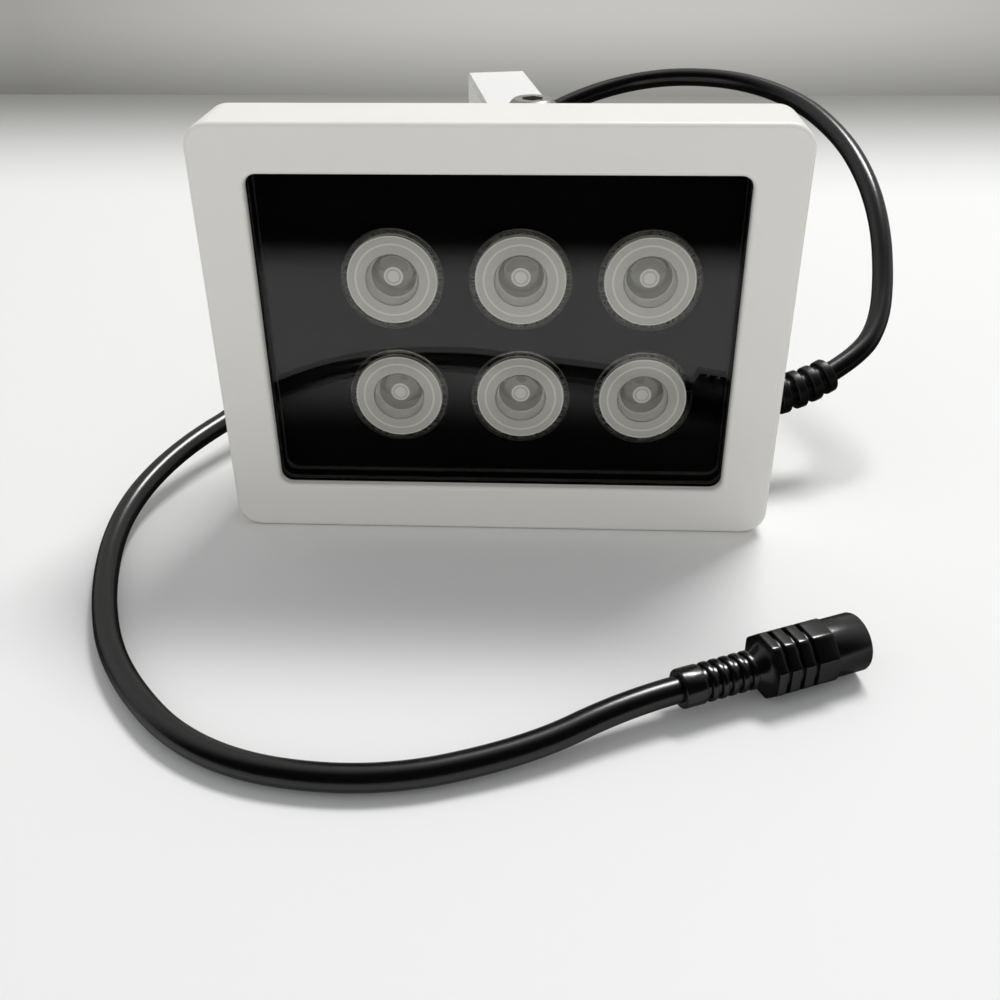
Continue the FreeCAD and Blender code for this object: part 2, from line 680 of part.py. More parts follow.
def housing_seal():
    """Rubber gasket between the frame and the housing."""
    ring_panel("housing_seal", "frame_back", "gasket_thickness", "frame_middle",
               ("flange_width", "flange_height", "flange_corner"),
               ("flange_width - 2 * gasket_land", "flange_height - 2 * gasket_land",
                "flange_corner"),
               ("screw_across", "screw_up", "screw_shank + screw_passage"))


def rear_housing():
    """Finned casting with a driver chamber, a cable chamber and two pivot posts."""
    made = body("rear_housing")
    drawn = sketch(made, "XZ", "flange_front")
    panel(drawn, "0", "frame_middle", "flange_width", "flange_height", "flange_corner")
    grow(made, drawn, "flange_thickness")
    drawn = sketch(made, "XZ", "flange_back")
    panel(drawn, "0", "frame_middle", "back_width", "back_height", "chamber_corner")
    grow(made, drawn, "back_thickness")
    for middle, width in (("driver_middle", "driver_chamber_width"),
                          ("cable_middle", "cable_chamber_width")):
        drawn = sketch(made, "XZ", "flange_back")
        panel(drawn, middle, "frame_middle", width, "back_height", "chamber_corner")
        grow(made, drawn, "chamber_depth", draft="-cast_draft")
    back = value("chamber_back")
    soften(made, edges(made, lambda at, edge: near(at.y, back)), "chamber_round")
    fins(made)
    pivot_posts(made)
    board_recess(made)
    cable_entry(made)
    housing_holes(made)


def fins(made):
    """Row of upright cooling fins across the back."""
    first = "driver_chamber_width + fin_margin - back_width / 2"
    last = "back_width / 2 - cable_chamber_width - fin_margin"
    drawn = sketch(made, "XY", "back_foot")
    root, crest = "fin_root / 2", "fin_crest / 2"
    outline(drawn, [
        (first + " - " + root, "back_face - 1"), (first + " + " + root, "back_face - 1"),
        (first + " + " + crest, "back_face + fin_height - " + crest),
        (first, "back_face + fin_height", crest, -1),
        (first + " - " + crest, "back_face + fin_height - " + crest, crest, -1)])
    fin = grow(made, drawn, "back_height")
    repeat(made, [fin], "X", "%s - (%s)" % (last, first), "fin_count")


def pivot_posts(made):
    """Posts above and below that the bracket turns on, with their tapped holes."""
    for at, forward, length in (("post_top", False, "post_top - back_top + pivot_post_length"),
                                ("post_foot", True, "back_foot - post_foot + pivot_post_length")):
        drawn = sketch(made, "XY", at)
        circle(drawn, "pivot_offset", "pivot_depth", "pivot_post")
        grow(made, drawn, length, forward=forward)
        drawn = sketch(made, "XY", at)
        circle(drawn, "pivot_offset", "pivot_depth", "pivot_hole")
        cut(made, drawn, "pivot_grip + screw_runout", forward=forward)


def board_recess(made):
    """Shallow recess for the lens board and the two chambers behind it."""
    drawn = sketch(made, "XZ", "flange_front")
    panel(drawn, "0", "frame_middle", "recess_width", "recess_height", "recess_corner")
    cut(made, drawn, "recess_floor - flange_front")
    for middle, width in (("driver_middle", "driver_chamber_width"),
                          ("cable_middle", "cable_chamber_width")):
        drawn = sketch(made, "XZ", "flange_front")
        panel(drawn, middle, "frame_middle", width + " - 2 * back_wall",
              "back_height - 2 * back_wall", "chamber_inside_corner")
        cut(made, drawn, "chamber_floor - flange_front")
    drawn = sketch(made, "XZ", "driver_back")
    for side in ("-", "+"):
        circle(drawn, "driver_middle", "frame_middle %s driver_screw_up / 2" % side,
               "driver_post")
    grow(made, drawn, "driver_post_height")


def cable_entry(made):
    """Flat and hole in the side wall for the cord's bushing."""
    drawn = sketch(made, "YZ", "back_width / 2")
    circle(drawn, "gland_depth", "gland_level", "gland_pad")
    grow(made, drawn, "back_wall", forward=False)
    drawn = sketch(made, "YZ", "back_width / 2 - back_wall - 1")
    circle(drawn, "gland_depth", "gland_level", "gland_hole")
    cut(made, drawn, "back_wall + 2")


def housing_holes(made):
    """Through holes at the corners and tapped holes for the boards."""
    drawn = sketch(made, "XZ", "flange_front - 1")
    four(drawn, "0", "frame_middle", "screw_across", "screw_up",
         "screw_shank + screw_passage")
    cut(made, drawn, "flange_thickness + 2")
    drawn = sketch(made, "XZ", "recess_floor")
    four(drawn, "lens_shift", "lens_level", "board_screw_across", "board_screw_up",
         "screw_shank + screw_fit")
    cut(made, drawn, "board_screw_grip + board_screw_runout")
    drawn = sketch(made, "XZ", "driver_back")
    for side in ("-", "+"):
        circle(drawn, "driver_middle", "frame_middle %s driver_screw_up / 2" % side,
               "screw_shank + screw_fit")
    cut(made, drawn, "board_screw_grip + board_screw_runout")


def driver():
    """Driver board on its posts, with its coil, capacitor and supply terminal."""
    made = body("driver_board")
    drawn = sketch(made, "XZ", "driver_front")
    panel(drawn, "driver_middle", "frame_middle", "driver_width", "driver_height",
          "board_corner")
    for side in ("-", "+"):
        circle(drawn, "driver_middle", "frame_middle %s driver_screw_up / 2" % side,
               "screw_shank + screw_passage")
    grow(made, drawn, "board_thickness")
    screw("driver_screws", "board_screw_head", "board_screw_height", "screw_shank",
          "board_thickness + board_screw_grip", "screw_socket", "board_screw_height * 0.6",
          ("driver_middle", "driver_front", "frame_middle - driver_screw_up / 2"),
          ("1", "1"), ("driver_screw_up", "2"))
    made = body("driver_coil")
    drawn = sketch(made, "XZ", "driver_front")
    panel(drawn, "driver_middle", "coil_foot + coil_side / 2", "coil_side", "coil_side",
          "1.2")
    grow(made, drawn, "coil_height", forward=False)
    made = body("driver_capacitor")
    drawn = sketch(made, "XY")
    outline(drawn, [("0", "0"), ("capacitor_radius", "0"),
                    ("capacitor_radius", "-1"), ("capacitor_radius - 0.35", "-1.5"),
                    ("capacitor_radius", "-2"),
                    ("capacitor_radius", "-capacitor_height + 0.4"),
                    ("capacitor_radius - 0.4", "-capacitor_height"),
                    ("0", "-capacitor_height")])
    turn(made, drawn)
    put(made, "driver_middle", "driver_front", "capacitor_foot + capacitor_radius")
    made = body("driver_terminal")
    level = "terminal_foot + terminal_width / 2"
    drawn = sketch(made, "XZ", "driver_front")
    rectangle(drawn, "driver_middle", level, "terminal_depth", "terminal_width")
    grow(made, drawn, "terminal_height", forward=False)
    drawn = sketch(made, "YZ", "driver_middle + terminal_depth / 2")
    for side in ("-", "+"):
        circle(drawn, "driver_front - terminal_height * 0.35",
               level + " %s terminal_width / 4" % side, "1.4")
    cut(made, drawn, "terminal_depth * 0.6", forward=False)


def frame_screws():
    """Four corner screws, put in from the back."""
    made = screw("frame_screws", "screw_head", "screw_head_height", "screw_shank",
                 "flange_thickness + gasket_thickness + screw_grip", "screw_socket",
                 "screw_head_height * 0.6",
                 ("screw_across / 2", "flange_back", "frame_middle - screw_up / 2"),
                 ("screw_across", "2"), ("screw_up", "2"))
    made.Placement.Rotation = Rotation(Vector(0, 0, 1), 180)


def bracket():
    """Strap of bent steel with a rounded eye at each end and three holes in its back."""
    made = body("bracket")
    drawn = sketch(made, "YZ")
    inside, outside = "strap_inside / 2", "strap_inside / 2 + strap_thickness"
    near_face, far_face = "strap_reach - strap_thickness", "strap_reach"
    bend, round_out = "strap_bend", "(strap_bend + strap_thickness)"
    eye = "-strap_width / 2"
    outline(drawn, [
        (eye, inside), (near_face + " - " + bend, inside),
        (near_face, inside + " - " + bend, bend, 1),
        (near_face, "-(%s) + %s" % (inside, bend)),
        (near_face + " - " + bend, "-(%s)" % inside, bend, 1),
        (eye, "-(%s)" % inside), (eye, "-(%s)" % outside),
        (far_face + " - " + round_out, "-(%s)" % outside),
        (far_face, "-(%s) + %s" % (outside, round_out), round_out, -1),
        (far_face, outside + " - " + round_out),
        (far_face + " - " + round_out, outside, round_out, -1),
        (eye, outside)])
    grow(made, drawn, "strap_width", middle=True)
    drawn = sketch(made, "XY", "-strap_inside")
    half = "strap_width / 2"
    outline(drawn, [("-(%s)" % half, "0", half, 1), ("-(%s) - 1" % half, "0"),
                    ("-(%s) - 1" % half, "-(%s) - 1" % half),
                    ("(%s) + 1" % half, "-(%s) - 1" % half),
                    ("(%s) + 1" % half, "0"), (half, "0"),
                    ("0", "-(%s)" % half, half, 1)])
    cut(made, drawn, "2 * strap_inside + 4 * strap_thickness", forward=True)
    drawn = sketch(made, "XY", "-strap_inside")
    circle(drawn, "0", "0", "pivot_hole")
    cut(made, drawn, "2 * strap_inside + 4 * strap_thickness", forward=True)
    drawn = sketch(made, "XZ", near_face + " - 1")
    circle(drawn, "0", "0", "mount_hole")
    for side in ("-", ""):
        circle(drawn, "0", side + "fixing_pitch / 2", "fixing_hole")
    cut(made, drawn, "strap_thickness + 2")
    made.Placement.Rotation = Rotation(Vector(0, 0, 1), value("strap_turn"))
    put(made, "pivot_offset", "pivot_depth", "strap_middle")


def ring(label, outer, inner, thickness, level):
    """Flat washer about the swivel axis."""
    disc = doc.addObject("Part::Cylinder", label + "_disc")
    bore = doc.addObject("Part::Cylinder", label + "_bore")
    for piece, radius in ((disc, outer), (bore, inner)):
        bind(piece, "Radius", radius)
        bind(piece, "Height", thickness)
    made = doc.addObject("Part::Cut", label)
    made.Base, made.Tool = disc, bore
    made.Label = label
    put(made, "pivot_offset", "pivot_depth", level)


def pivot_bolt(label, upright, level):
    """Bolt that the bracket turns on: low head with a hexagon socket."""
    made = body(label)
    drawn = sketch(made, "XZ")
    top, head = "pivot_head_height", "pivot_head"
    outline(drawn, [("0", "-(bolt_length)"), ("pivot_shank - 0.4", "-(bolt_length)"),
                    ("pivot_shank", "-(bolt_length) + 0.4"), ("pivot_shank", "0"),
                    (head, "0"), (head, top + " * 0.4"),
                    (head + " * 0.72", top, top, -1), ("0", top)])
    turn(made, drawn)
    drawn = sketch(made, "XY", top)
    hexagon(drawn, "0", "0", "pivot_socket")
    cut(made, drawn, top + " * 0.6", forward=False)
    if not upright:
        made.Placement.Rotation = Rotation(Vector(1, 0, 0), 180)
    put(made, "pivot_offset", "pivot_depth", level)


def pivots():
    """Bolts and washers above and below."""
    hole = "pivot_hole"
    ring("friction_washer_top", "friction_radius", hole, "friction_thickness", "post_top")
    ring("friction_washer_bottom", "friction_radius", hole, "friction_thickness",
         "leg_foot_face")
    ring("pivot_washer_top", "washer_radius", hole, "washer_thickness",
         "leg_top_face + strap_thickness")
    ring("pivot_washer_bottom", "washer_radius", hole, "washer_thickness",
         "leg_foot_face - strap_thickness - washer_thickness")
    pivot_bolt("pivot_bolt_top", True, "leg_top_face + strap_thickness + washer_thickness")
    pivot_bolt("pivot_bolt_bottom", False,
               "leg_foot_face - strap_thickness - washer_thickness")


def along_bushing(part):
    """Place on the bushing's bent middle line, a share of the way along."""
    bend, roll = value("bushing_bend"), math.radians(value("bushing_roll"))
    angle = math.radians(value("bushing_turn")) * part
    side = Vector(0, math.cos(roll), math.sin(roll))
    base = Vector(value("back_width / 2"), value("gland_depth"), value("gland_level"))
    at = base + Vector(1, 0, 0) * (bend * math.sin(angle)) + side * (
        bend * (1 - math.cos(angle)))
    heading = Vector(1, 0, 0) * math.cos(angle) + side * math.sin(angle)
    return at, heading


def bushing_piece(name, radius, start, sweep):
    """Length of the bent bushing as a slice of a torus."""
    made = doc.addObject("Part::Torus", name)
    bind(made, "Radius1", "bushing_bend")
    bind(made, "Radius2", radius)
    bind(made, "Angle3", sweep)
    roll = math.radians(value("bushing_roll"))
    side = Vector(0, math.cos(roll), math.sin(roll))
    normal = side.cross(Vector(-1, 0, 0))
    centre = Vector(value("back_width / 2"), value("gland_depth"), value("gland_level"))
    centre = centre + side * value("bushing_bend")
    base = Rotation(side * -1, Vector(1, 0, 0), normal, "XYZ")
    made.Placement = Placement(centre, base * Rotation(Vector(0, 0, 1), value(start)))
    return made


def rod(name, radius, length, at, heading):
    """Plain cylinder from a point along a direction."""
    made = doc.addObject("Part::Cylinder", name)
    bind(made, "Radius", radius)
    bind(made, "Height", length)
    made.Placement = Placement(at, Rotation(Vector(0, 0, 1), heading))
    return made


def cord_bushing():
    """One-piece rubber bushing: lip, neck, collar and a ribbed sleeve bent by the cord."""
    wall = Vector(value("back_width / 2"), value("gland_depth"), value("gland_level"))
    out = Vector(1, 0, 0)
    inside = wall - out * value("back_wall + bushing_lip_thickness")
    pieces = [
        rod("bushing_lip_disc", "bushing_lip", "bushing_lip_thickness", inside, out),
        rod("bushing_neck_rod", "gland_hole - gland_fit",
            "back_wall + bushing_lip_thickness + bushing_collar_thickness", inside, out),
        rod("bushing_collar_disc", "bushing_collar", "bushing_collar_thickness", wall, out),
        bushing_piece("bushing_core_bend", "bushing_core", "0", "bushing_turn")]
    wide = "bushing_ring_width / bushing_bend * 180 / pi"
    free = "(bushing_turn - bushing_collar_thickness / bushing_bend * 180 / pi)"
    count = int(value("bushing_ring_count"))
    for i in range(count):
        step = "bushing_turn - %s + %s * %d / bushing_ring_count - %s" % (
            free, free, i + 1, wide)
        pieces.append(bushing_piece(
            "bushing_ring_%d" % (i + 1), "bushing_ring - bushing_ring_fall * %d" % i,
            step, wide))
    made = doc.addObject("Part::MultiFuse", "cord_bushing")
    made.Shapes = pieces
    made.Label = "cord_bushing"


def plug_frame():
    """Placement of the in-line socket: its middle line along local X."""
    at = Vector(PLUG_START[0], PLUG_START[1], value("plug_flats / 2"))
    return Placement(at, Rotation(Vector(0, 0, 1), value("plug_turn")))


def cord():
    """Free cord: straight runs joined by arcs as large as the runs allow."""
    start, heading = along_bushing(1.0)
    plug = plug_frame()
    entry = plug.Rotation.multVec(Vector(1, 0, 0))
    points = [start, start + heading * CORD_LEAD]
    points += [Vector(*point) for point in CORD_ROUTE]
    points += [plug.Base - entry * CORD_LEAD, plug.Base]
    runs = [(points[i + 1] - points[i]).Length for i in range(len(points) - 1)]
    edges_found, here, radii = [], points[0], []
    for i in range(1, len(points) - 1):
        before = (points[i] - points[i - 1]).normalize()
        after = (points[i + 1] - points[i]).normalize()
        angle = before.getAngle(after)
        reach = 0.45 * min(runs[i - 1], runs[i])
        radii.append(reach / math.tan(angle / 2))
        first, last = points[i] - before * reach, points[i] + after * reach
        inward = (after - before).normalize()
        depth = radii[-1] * (1 / math.cos(angle / 2) - 1)
        edges_found.append(Part.LineSegment(here, first).toShape())
        edges_found.append(Part.Arc(first, points[i] + inward * depth, last).toShape())
        here = last
    edges_found.append(Part.LineSegment(here, points[-1]).toShape())
    path = Part.Wire(edges_found)
    radius = value("cord_radius")
    section = Part.Wire([Part.Circle(
        points[0], (points[1] - points[0]).normalize(), radius).toShape()])
    tube = path.makePipeShell([section], True, False)
    expected = math.pi * radius ** 2 * path.Length
    print("cord length %.1f, volume %.1f of %.1f" % (path.Length, tube.Volume, expected))
    print("cord runs", " ".join("%.1f" % run for run in runs))
    print("cord radii", " ".join("%.1f" % found for found in radii))
    print("cord lowest point %.2f" % tube.BoundBox.ZMin)
    if abs(tube.Volume / expected - 1) > 0.01:
        raise RuntimeError("the cord's volume is off")
    made = doc.addObject("Part::Feature", "cord")
    made.Label = "cord"
    made.Shape = tube


def connector_body():
    """Moulded in-line socket: collar, ribs, flare, eight-sided grip and barrel."""
    made = body("connector_body")
    drawn = sketch(made, "XY")
    steps = [("0", "0"), ("0", "plug_sleeve - 0.4"), ("0.4", "plug_sleeve"),
             ("plug_sleeve_length", "plug_sleeve"), ("plug_sleeve_length", "plug_neck")]
    for i in range(int(value("plug_rib_count"))):
        end = "plug_sleeve_length + plug_rib_pitch * %d" % (i + 1)
        start = end + " - plug_rib_width"
        steps += [(start, "plug_neck"), (start, "plug_rib"), (end, "plug_rib"),
                  (end, "plug_neck")]
    steps += [("plug_cone_end", "plug_barrel", "plug_flare", -1),
              ("plug_end - 0.4", "plug_barrel"), ("plug_end", "plug_barrel - 0.4"),
              ("plug_end", "0")]
    outline(drawn, steps)
    turn(made, drawn, "H_Axis")
    drawn = sketch(made, "YZ", "plug_cone_end")
    eight_sides(drawn, "plug_flats")
    grow(made, drawn, "plug_grip")
    first, last = value("plug_cone_end"), value("plug_grip_end")
    rim = edges(made, lambda at, edge: near(edge.BoundBox.XLength, 0) and (
        near(at.x, first) or near(at.x, last)) and edge.Curve.TypeId == "Part::GeomLine")
    soften(made, rim, "(plug_flats / 2 - plug_barrel) * 0.7", "Chamfer")
    drawn = sketch(made, "YZ", "plug_cone_end + plug_groove_first - plug_groove_width / 2")
    circle(drawn, "0", "0", "plug_flats")
    circle(drawn, "0", "0", "plug_flats / 2 - plug_groove_depth")
    groove = cut(made, drawn, "plug_groove_width")
    repeat(made, [groove], "X", "(plug_groove_count - 1) * plug_groove_pitch",
           "plug_groove_count")
    drawn = sketch(made, "YZ", "plug_end")
    circle(drawn, "0", "0", "insert_radius")
    cut(made, drawn, "insert_depth + insert_floor", forward=False)
    made.Placement = plug_frame()


def eight_sides(drawn, flats):
    """Draw an octagon about the sketch's origin, with flats at the top and foot."""
    half = "(%s) / 2" % flats
    short = half + " * tan(22.5)"
    corners = [(half, "-" + short), (half, short), (short, half), ("-" + short, half),
               ("-" + half, short), ("-" + half, "-" + short), ("-" + short, "-" + half),
               (short, "-" + half)]
    outline(drawn, corners)


def connector_insides():
    """Black insert with the socket's bore, its middle pin and its contact spring."""
    made = body("connector_insert")
    drawn = sketch(made, "XY")
    outline(drawn, [("plug_end - insert_depth - insert_floor", "0"),
                    ("plug_end - insert_depth - insert_floor", "insert_radius"),
                    ("plug_end", "insert_radius"), ("plug_end", "insert_bore + 0.3"),
                    ("plug_end - 0.3", "insert_bore"),
                    ("plug_end - insert_depth", "insert_bore"),
                    ("plug_end - insert_depth", "0")])
    turn(made, drawn, "H_Axis")
    made.Placement = plug_frame()
    made = body("connector_pin")
    drawn = sketch(made, "XY")
    outline(drawn, [("plug_end - insert_depth", "0"),
                    ("plug_end - insert_depth", "pin_radius"),
                    ("plug_end - pin_recess - pin_radius", "pin_radius"),
                    ("plug_end - pin_recess", "0", "pin_radius", 1)])
    turn(made, drawn, "H_Axis")
    made.Placement = plug_frame()
    made = body("connector_spring")
    drawn = sketch(made, "XZ")
    rise = "insert_bore - spring_thickness / 2"
    outline(drawn, [("plug_end - insert_depth", rise + " - spring_thickness"),
                    ("plug_end - 2", rise + " - spring_thickness"),
                    ("plug_end - 2", rise), ("plug_end - insert_depth", rise)])
    grow(made, drawn, "spring_width", middle=True)
    made.Placement = plug_frame()


def check_document():
    """Stop if any object failed or any sub-part is not a valid solid."""
    doc.recompute()
    for item in doc.Objects:
        state = [word for word in item.State if word in ("Invalid", "Error")]
        if state:
            raise RuntimeError(item.Name + " is in state " + str(item.State))
    for name in NODES:
        shape = doc.getObject(name).Shape
        if shape.isNull() or not shape.isValid() or not shape.Solids:
            raise RuntimeError(name + " is not a valid solid")


def write_parts():
    """Write each sub-part's shape under its own name."""
    for name in NODES:
        piece = doc.getObject(name)
        shape = piece.Shape
        box = shape.BoundBox
        print("%-22s %d solids %9.1f mm3  x %.1f %.1f  y %.1f %.1f  z %.1f %.1f" % (
            name, len(shape.Solids), shape.Volume, box.XMin, box.XMax, box.YMin, box.YMax,
            box.ZMin, box.ZMax))
        shape.exportStep(os.path.join("parts", name + ".step"))


front_frame()
window()
mask_plate()
for number, (spot_x, spot_z) in enumerate(lens_spots(), 1):
    lens("lens_%d" % number, spot_x, spot_z)
    emitter("emitter_%d" % number, spot_x, spot_z)
led_board()
board_screws()
housing_seal()
rear_housing()
driver()
frame_screws()
bracket()
pivots()
cord_bushing()
cord()
connector_body()
connector_insides()

NODES = [
    "front_frame", "glass_seal", "front_glass", "mask_plate",
    "lens_1", "lens_2", "lens_3", "lens_4", "lens_5", "lens_6",
    "emitter_1", "emitter_2", "emitter_3", "emitter_4", "emitter_5", "emitter_6",
    "led_board", "board_screws", "driver_board", "driver_screws", "driver_coil",
    "driver_capacitor", "driver_terminal", "housing_seal", "rear_housing",
    "frame_screws", "bracket", "friction_washer_top", "friction_washer_bottom",
    "pivot_washer_top", "pivot_washer_bottom", "pivot_bolt_top", "pivot_bolt_bottom",
    "cord_bushing", "cord", "connector_body", "connector_insert", "connector_pin",
    "connector_spring",
]
check_document()
write_parts()
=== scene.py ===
"""Infrared illuminator on a pale table: looks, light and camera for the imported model."""
import math
import bmesh
import bpy
import numpy as np
from mathutils import Matrix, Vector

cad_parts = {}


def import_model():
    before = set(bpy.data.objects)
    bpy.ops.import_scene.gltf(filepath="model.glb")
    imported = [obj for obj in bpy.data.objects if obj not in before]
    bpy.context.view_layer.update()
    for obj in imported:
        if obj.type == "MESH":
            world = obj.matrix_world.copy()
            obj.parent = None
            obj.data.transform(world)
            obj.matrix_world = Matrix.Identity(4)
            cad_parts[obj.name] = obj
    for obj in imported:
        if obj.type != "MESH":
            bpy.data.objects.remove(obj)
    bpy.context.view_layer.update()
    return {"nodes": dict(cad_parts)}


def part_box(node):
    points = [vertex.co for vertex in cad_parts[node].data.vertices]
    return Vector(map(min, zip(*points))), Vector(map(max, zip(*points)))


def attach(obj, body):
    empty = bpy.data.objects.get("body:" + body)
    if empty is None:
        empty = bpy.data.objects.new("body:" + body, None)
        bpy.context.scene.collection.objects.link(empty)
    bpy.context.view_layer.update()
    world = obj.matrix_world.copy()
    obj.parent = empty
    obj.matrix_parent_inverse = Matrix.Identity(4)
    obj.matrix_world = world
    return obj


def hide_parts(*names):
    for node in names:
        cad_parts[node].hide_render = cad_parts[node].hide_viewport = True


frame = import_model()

MM = 0.001

# Collimating lens, millimetres: radii and depths from its front
LENS = {"flange": 10.25, "flange_thickness": 1.8, "mouth": 8.9, "root": 4.4, "length": 12.0,
        "flank": 22.0, "dish_mouth": 5.2, "dish_floor": 4.9, "dish_depth": 3.2,
        "dish_crown": 1.1, "pocket_mouth": 3.3, "pocket_roof": 3.0, "pocket_depth": 4.4,
        "pocket_crown": 0.8}
# Rings on its front, painted pale as bright reflections (inner and outer radius), and the spot
# in its dish, painted pale as the emitter's bright image: radii of its core, of the gap round
# the core, of the spot and of its fringe
LENS_RINGS = ((7.1, 7.5), (8.75, 9.0))
LENS_SPOT = (1.05, 1.4, 1.75, 2.1)
# Rubber bushing, bent by the cord: base on the side wall, radii and lengths
BUSHING = {"base": (50.0, 18.5, 18.8), "bend": 43.6, "turn": 33.9, "roll": 34.4, "lip": 5.0,
           "lip_thickness": 1.5, "wall": 2.5, "neck": 3.95, "collar": 5.25,
           "collar_thickness": 3.4, "core": 3.1, "ring": 4.9, "ring_fall": 0.17, "rings": 6,
           "ring_width": 2.1}
# In-line socket as it lies: start of its middle line, heading, radii and lengths
SOCKET = {"start": (33.2, -65.8, 5.6), "turn": 23.4, "sleeve": 3.5, "sleeve_length": 4.2,
          "neck": 2.9, "ribs": 5, "rib_pitch": 2.0, "rib_width": 1.2, "flare": 2.3,
          "flare_radius": 3.2, "grip": 12.3, "flats": 11.2, "grooves": 3, "groove_first": 2.1,
          "groove_pitch": 2.8, "groove_width": 0.8, "groove_depth": 0.5, "barrel": 5.35,
          "barrel_length": 7.2, "bore": 4.4, "bore_depth": 11.5}
# Control points of the free cord between its straight leads, as in the model's source
CORD_ROUTE = [
    (87.8, 36.7, 31.1), (90.0, 46.0, 37.8), (90.6, 57.2, 47.2),
    (88.9, 70.0, 55.8), (85.0, 86.5, 62.4), (76.6, 106.0, 67.6), (60.0, 121.5, 70.4),
    (36.0, 129.0, 68.9), (11.0, 121.5, 62.7), (-13.0, 104.0, 50.0), (-34.5, 83.0, 35.0),
    (-51.5, 58.5, 20.0), (-62.5, 33.5, 9.5), (-76.5, 10.5, 7.8), (-82.5, -12.0, 4.5),
    (-77.5, -38.5, 2.7), (-66.5, -62.0, 2.7), (-46.0, -82.5, 2.7), (-17.5, -87.0, 2.7),
    (7.5, -79.3, 3.2),
]
CORD_RADIUS = 2.4
CORD_LEAD = 10.0
LENS_COUNT = 6
# Points that agree to this many decimals of a millimetre are joined
MERGE_DECIMALS = 5

# Finishes, millimetres: the slow swing of colour and gloss, the depth of the fine bump
SWING_SPACING = 18.0
BUMP_DEPTH = 0.05
ACRYLIC_IOR = 1.49

# Stage, metres from the front frame's foot: its half width, the backdrop's place and height
STAGE_REACH = 3.0
WALL_PLACE, WALL_HEIGHT = 0.45, 0.5
# Where painted shade darkens the table to the backdrop's level, from and to
TABLE_SHADE_FADE = (0.235, 0.465)
# The same in mirror images: painted shadow darkening it to the lamp's foot, and where it
# starts in front, painted black before that
MIRROR_FOOT_SHADE = (-0.09, -0.045)
MIRROR_START = (-0.2, -0.155)
# Backdrop, painted darker along its foot and to the sides as shade: heights over which it
# pales, then its middle, fall and least share to the sides
WALL_FOOT_SHADE = (-0.03, 0.048)
WALL_MIDDLE, WALL_FALL, WALL_LEAST = 0.05, 3.3, 0.62
# Room light: level, its slope by direction, and the directions' y over which it goes dark
# in mirror images alone, a painted dark reflection
ROOM_LEVEL = 0.6
ROOM_SLOPE = (0.0, 0.15, -0.17)
ROOM_DARK = (-0.3, 0.2)
# How many times as bright rays that have come through glass find the room
LENS_FIELD = 1.3
# A ray that has been thrown back by the window has passed fewer faces of glass than this
MIRROR_PASSES = 3.5


# Meshes
def box(node):
    """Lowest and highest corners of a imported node, in millimetres."""
    return np.array(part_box(node)) / MM


def piece(name, points, faces, materials, body="lamp", replaces=None, sharp=35.0,
          zones=None):
    """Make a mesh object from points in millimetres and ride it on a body.

    zones, if given, takes the faces' middles and gives each face's number in materials.
    """
    mesh = bpy.data.meshes.new(name)
    points = np.asarray(points, float)
    faces = [list(map(int, face)) for face in faces]
    mesh.from_pydata((points * MM).tolist(), [], faces)
    for material in materials:
        mesh.materials.append(material)
    if zones is not None:
        middles = np.array([points[face].mean(axis=0) for face in faces])
        mesh.polygons.foreach_set("material_index", np.asarray(zones(middles), np.int32))
    work = bmesh.new()
    work.from_mesh(mesh)
    bmesh.ops.recalc_face_normals(work, faces=work.faces)
    work.to_mesh(mesh)
    work.free()
    mesh.polygons.foreach_set("use_smooth", np.ones(len(mesh.polygons), dtype=bool))
    mesh.set_sharp_from_angle(angle=math.radians(sharp))
    made = bpy.data.objects.new(name, mesh)
    bpy.context.scene.collection.objects.link(made)
    if replaces:
        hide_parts(replaces)
    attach(made, body)
    return made


def grid_faces(rows, columns):
    """Quads of a grid of rows by columns whose columns close round."""
    i, j = np.meshgrid(np.arange(rows - 1), np.arange(columns), indexing="ij")
    after = (j + 1) % columns
    quads = np.stack([i * columns + j, i * columns + after,
                      (i + 1) * columns + after, (i + 1) * columns + j], -1)
    return quads.reshape(-1, 4)


def merge_poles(points, faces):
    """Join points that coincide and drop the faces' repeated corners."""
    keys = np.round(points, MERGE_DECIMALS)
    _, first, back = np.unique(keys, axis=0, return_index=True, return_inverse=True)
    kept = []
    for face in back.reshape(-1)[np.asarray(faces)]:
        corners = [corner for k, corner in enumerate(face) if corner != face[k - 1]]
        if len(corners) > 2:
            kept.append(corners)
    return points[first], kept


def sleeve(line, tangent, across, radii, segments=96):
    """Tube about a line: point = line + radius * (cos t * across + sin t * tangent x across).

    radii holds one radius a row, or one for each row and angle.  Rows of zero radius shrink
    to one point, so both ends are closed.
    """
    t = np.linspace(0, 2 * np.pi, segments, endpoint=False)
    other = np.cross(tangent, across)
    ring = (np.cos(t)[None, :, None] * np.asarray(across, float)
            + np.sin(t)[None, :, None] * other[:, None])
    radii = np.asarray(radii, float)
    radii = radii[:, None] if radii.ndim == 1 else radii
    points = line[:, None] + radii[..., None] * ring
    return merge_poles(points.reshape(-1, 3), grid_faces(len(line), segments))


def revolve(profile, centre, axis, across, segments=96):
    """Surface of a profile of (radius, height) turned about a straight axis."""
    profile = np.asarray(profile, float)
    axis = np.asarray(axis, float)
    line = np.asarray(centre, float) + profile[:, 1, None] * axis
    return sleeve(line, np.tile(axis, (len(profile), 1)), across, profile[:, 0], segments)


def arc(start, end, radius, side, steps=14):
    """Points of a circular arc in the profile plane, bulging left (1) or right (-1)."""
    start, end = np.array(start, float), np.array(end, float)
    chord = end - start
    length = np.linalg.norm(chord)
    across = np.array([-chord[1], chord[0]]) / length * side
    centre = (start + end) / 2 - across * math.sqrt(radius ** 2 - length ** 2 / 4)
    a = math.atan2(*(start - centre)[::-1])
    b = math.atan2(*(end - centre)[::-1])
    sweep = (b - a + np.pi) % (2 * np.pi) - np.pi
    t = a + sweep * np.linspace(0, 1, steps)
    return np.stack([centre[0] + radius * np.cos(t), centre[1] + radius * np.sin(t)], 1)


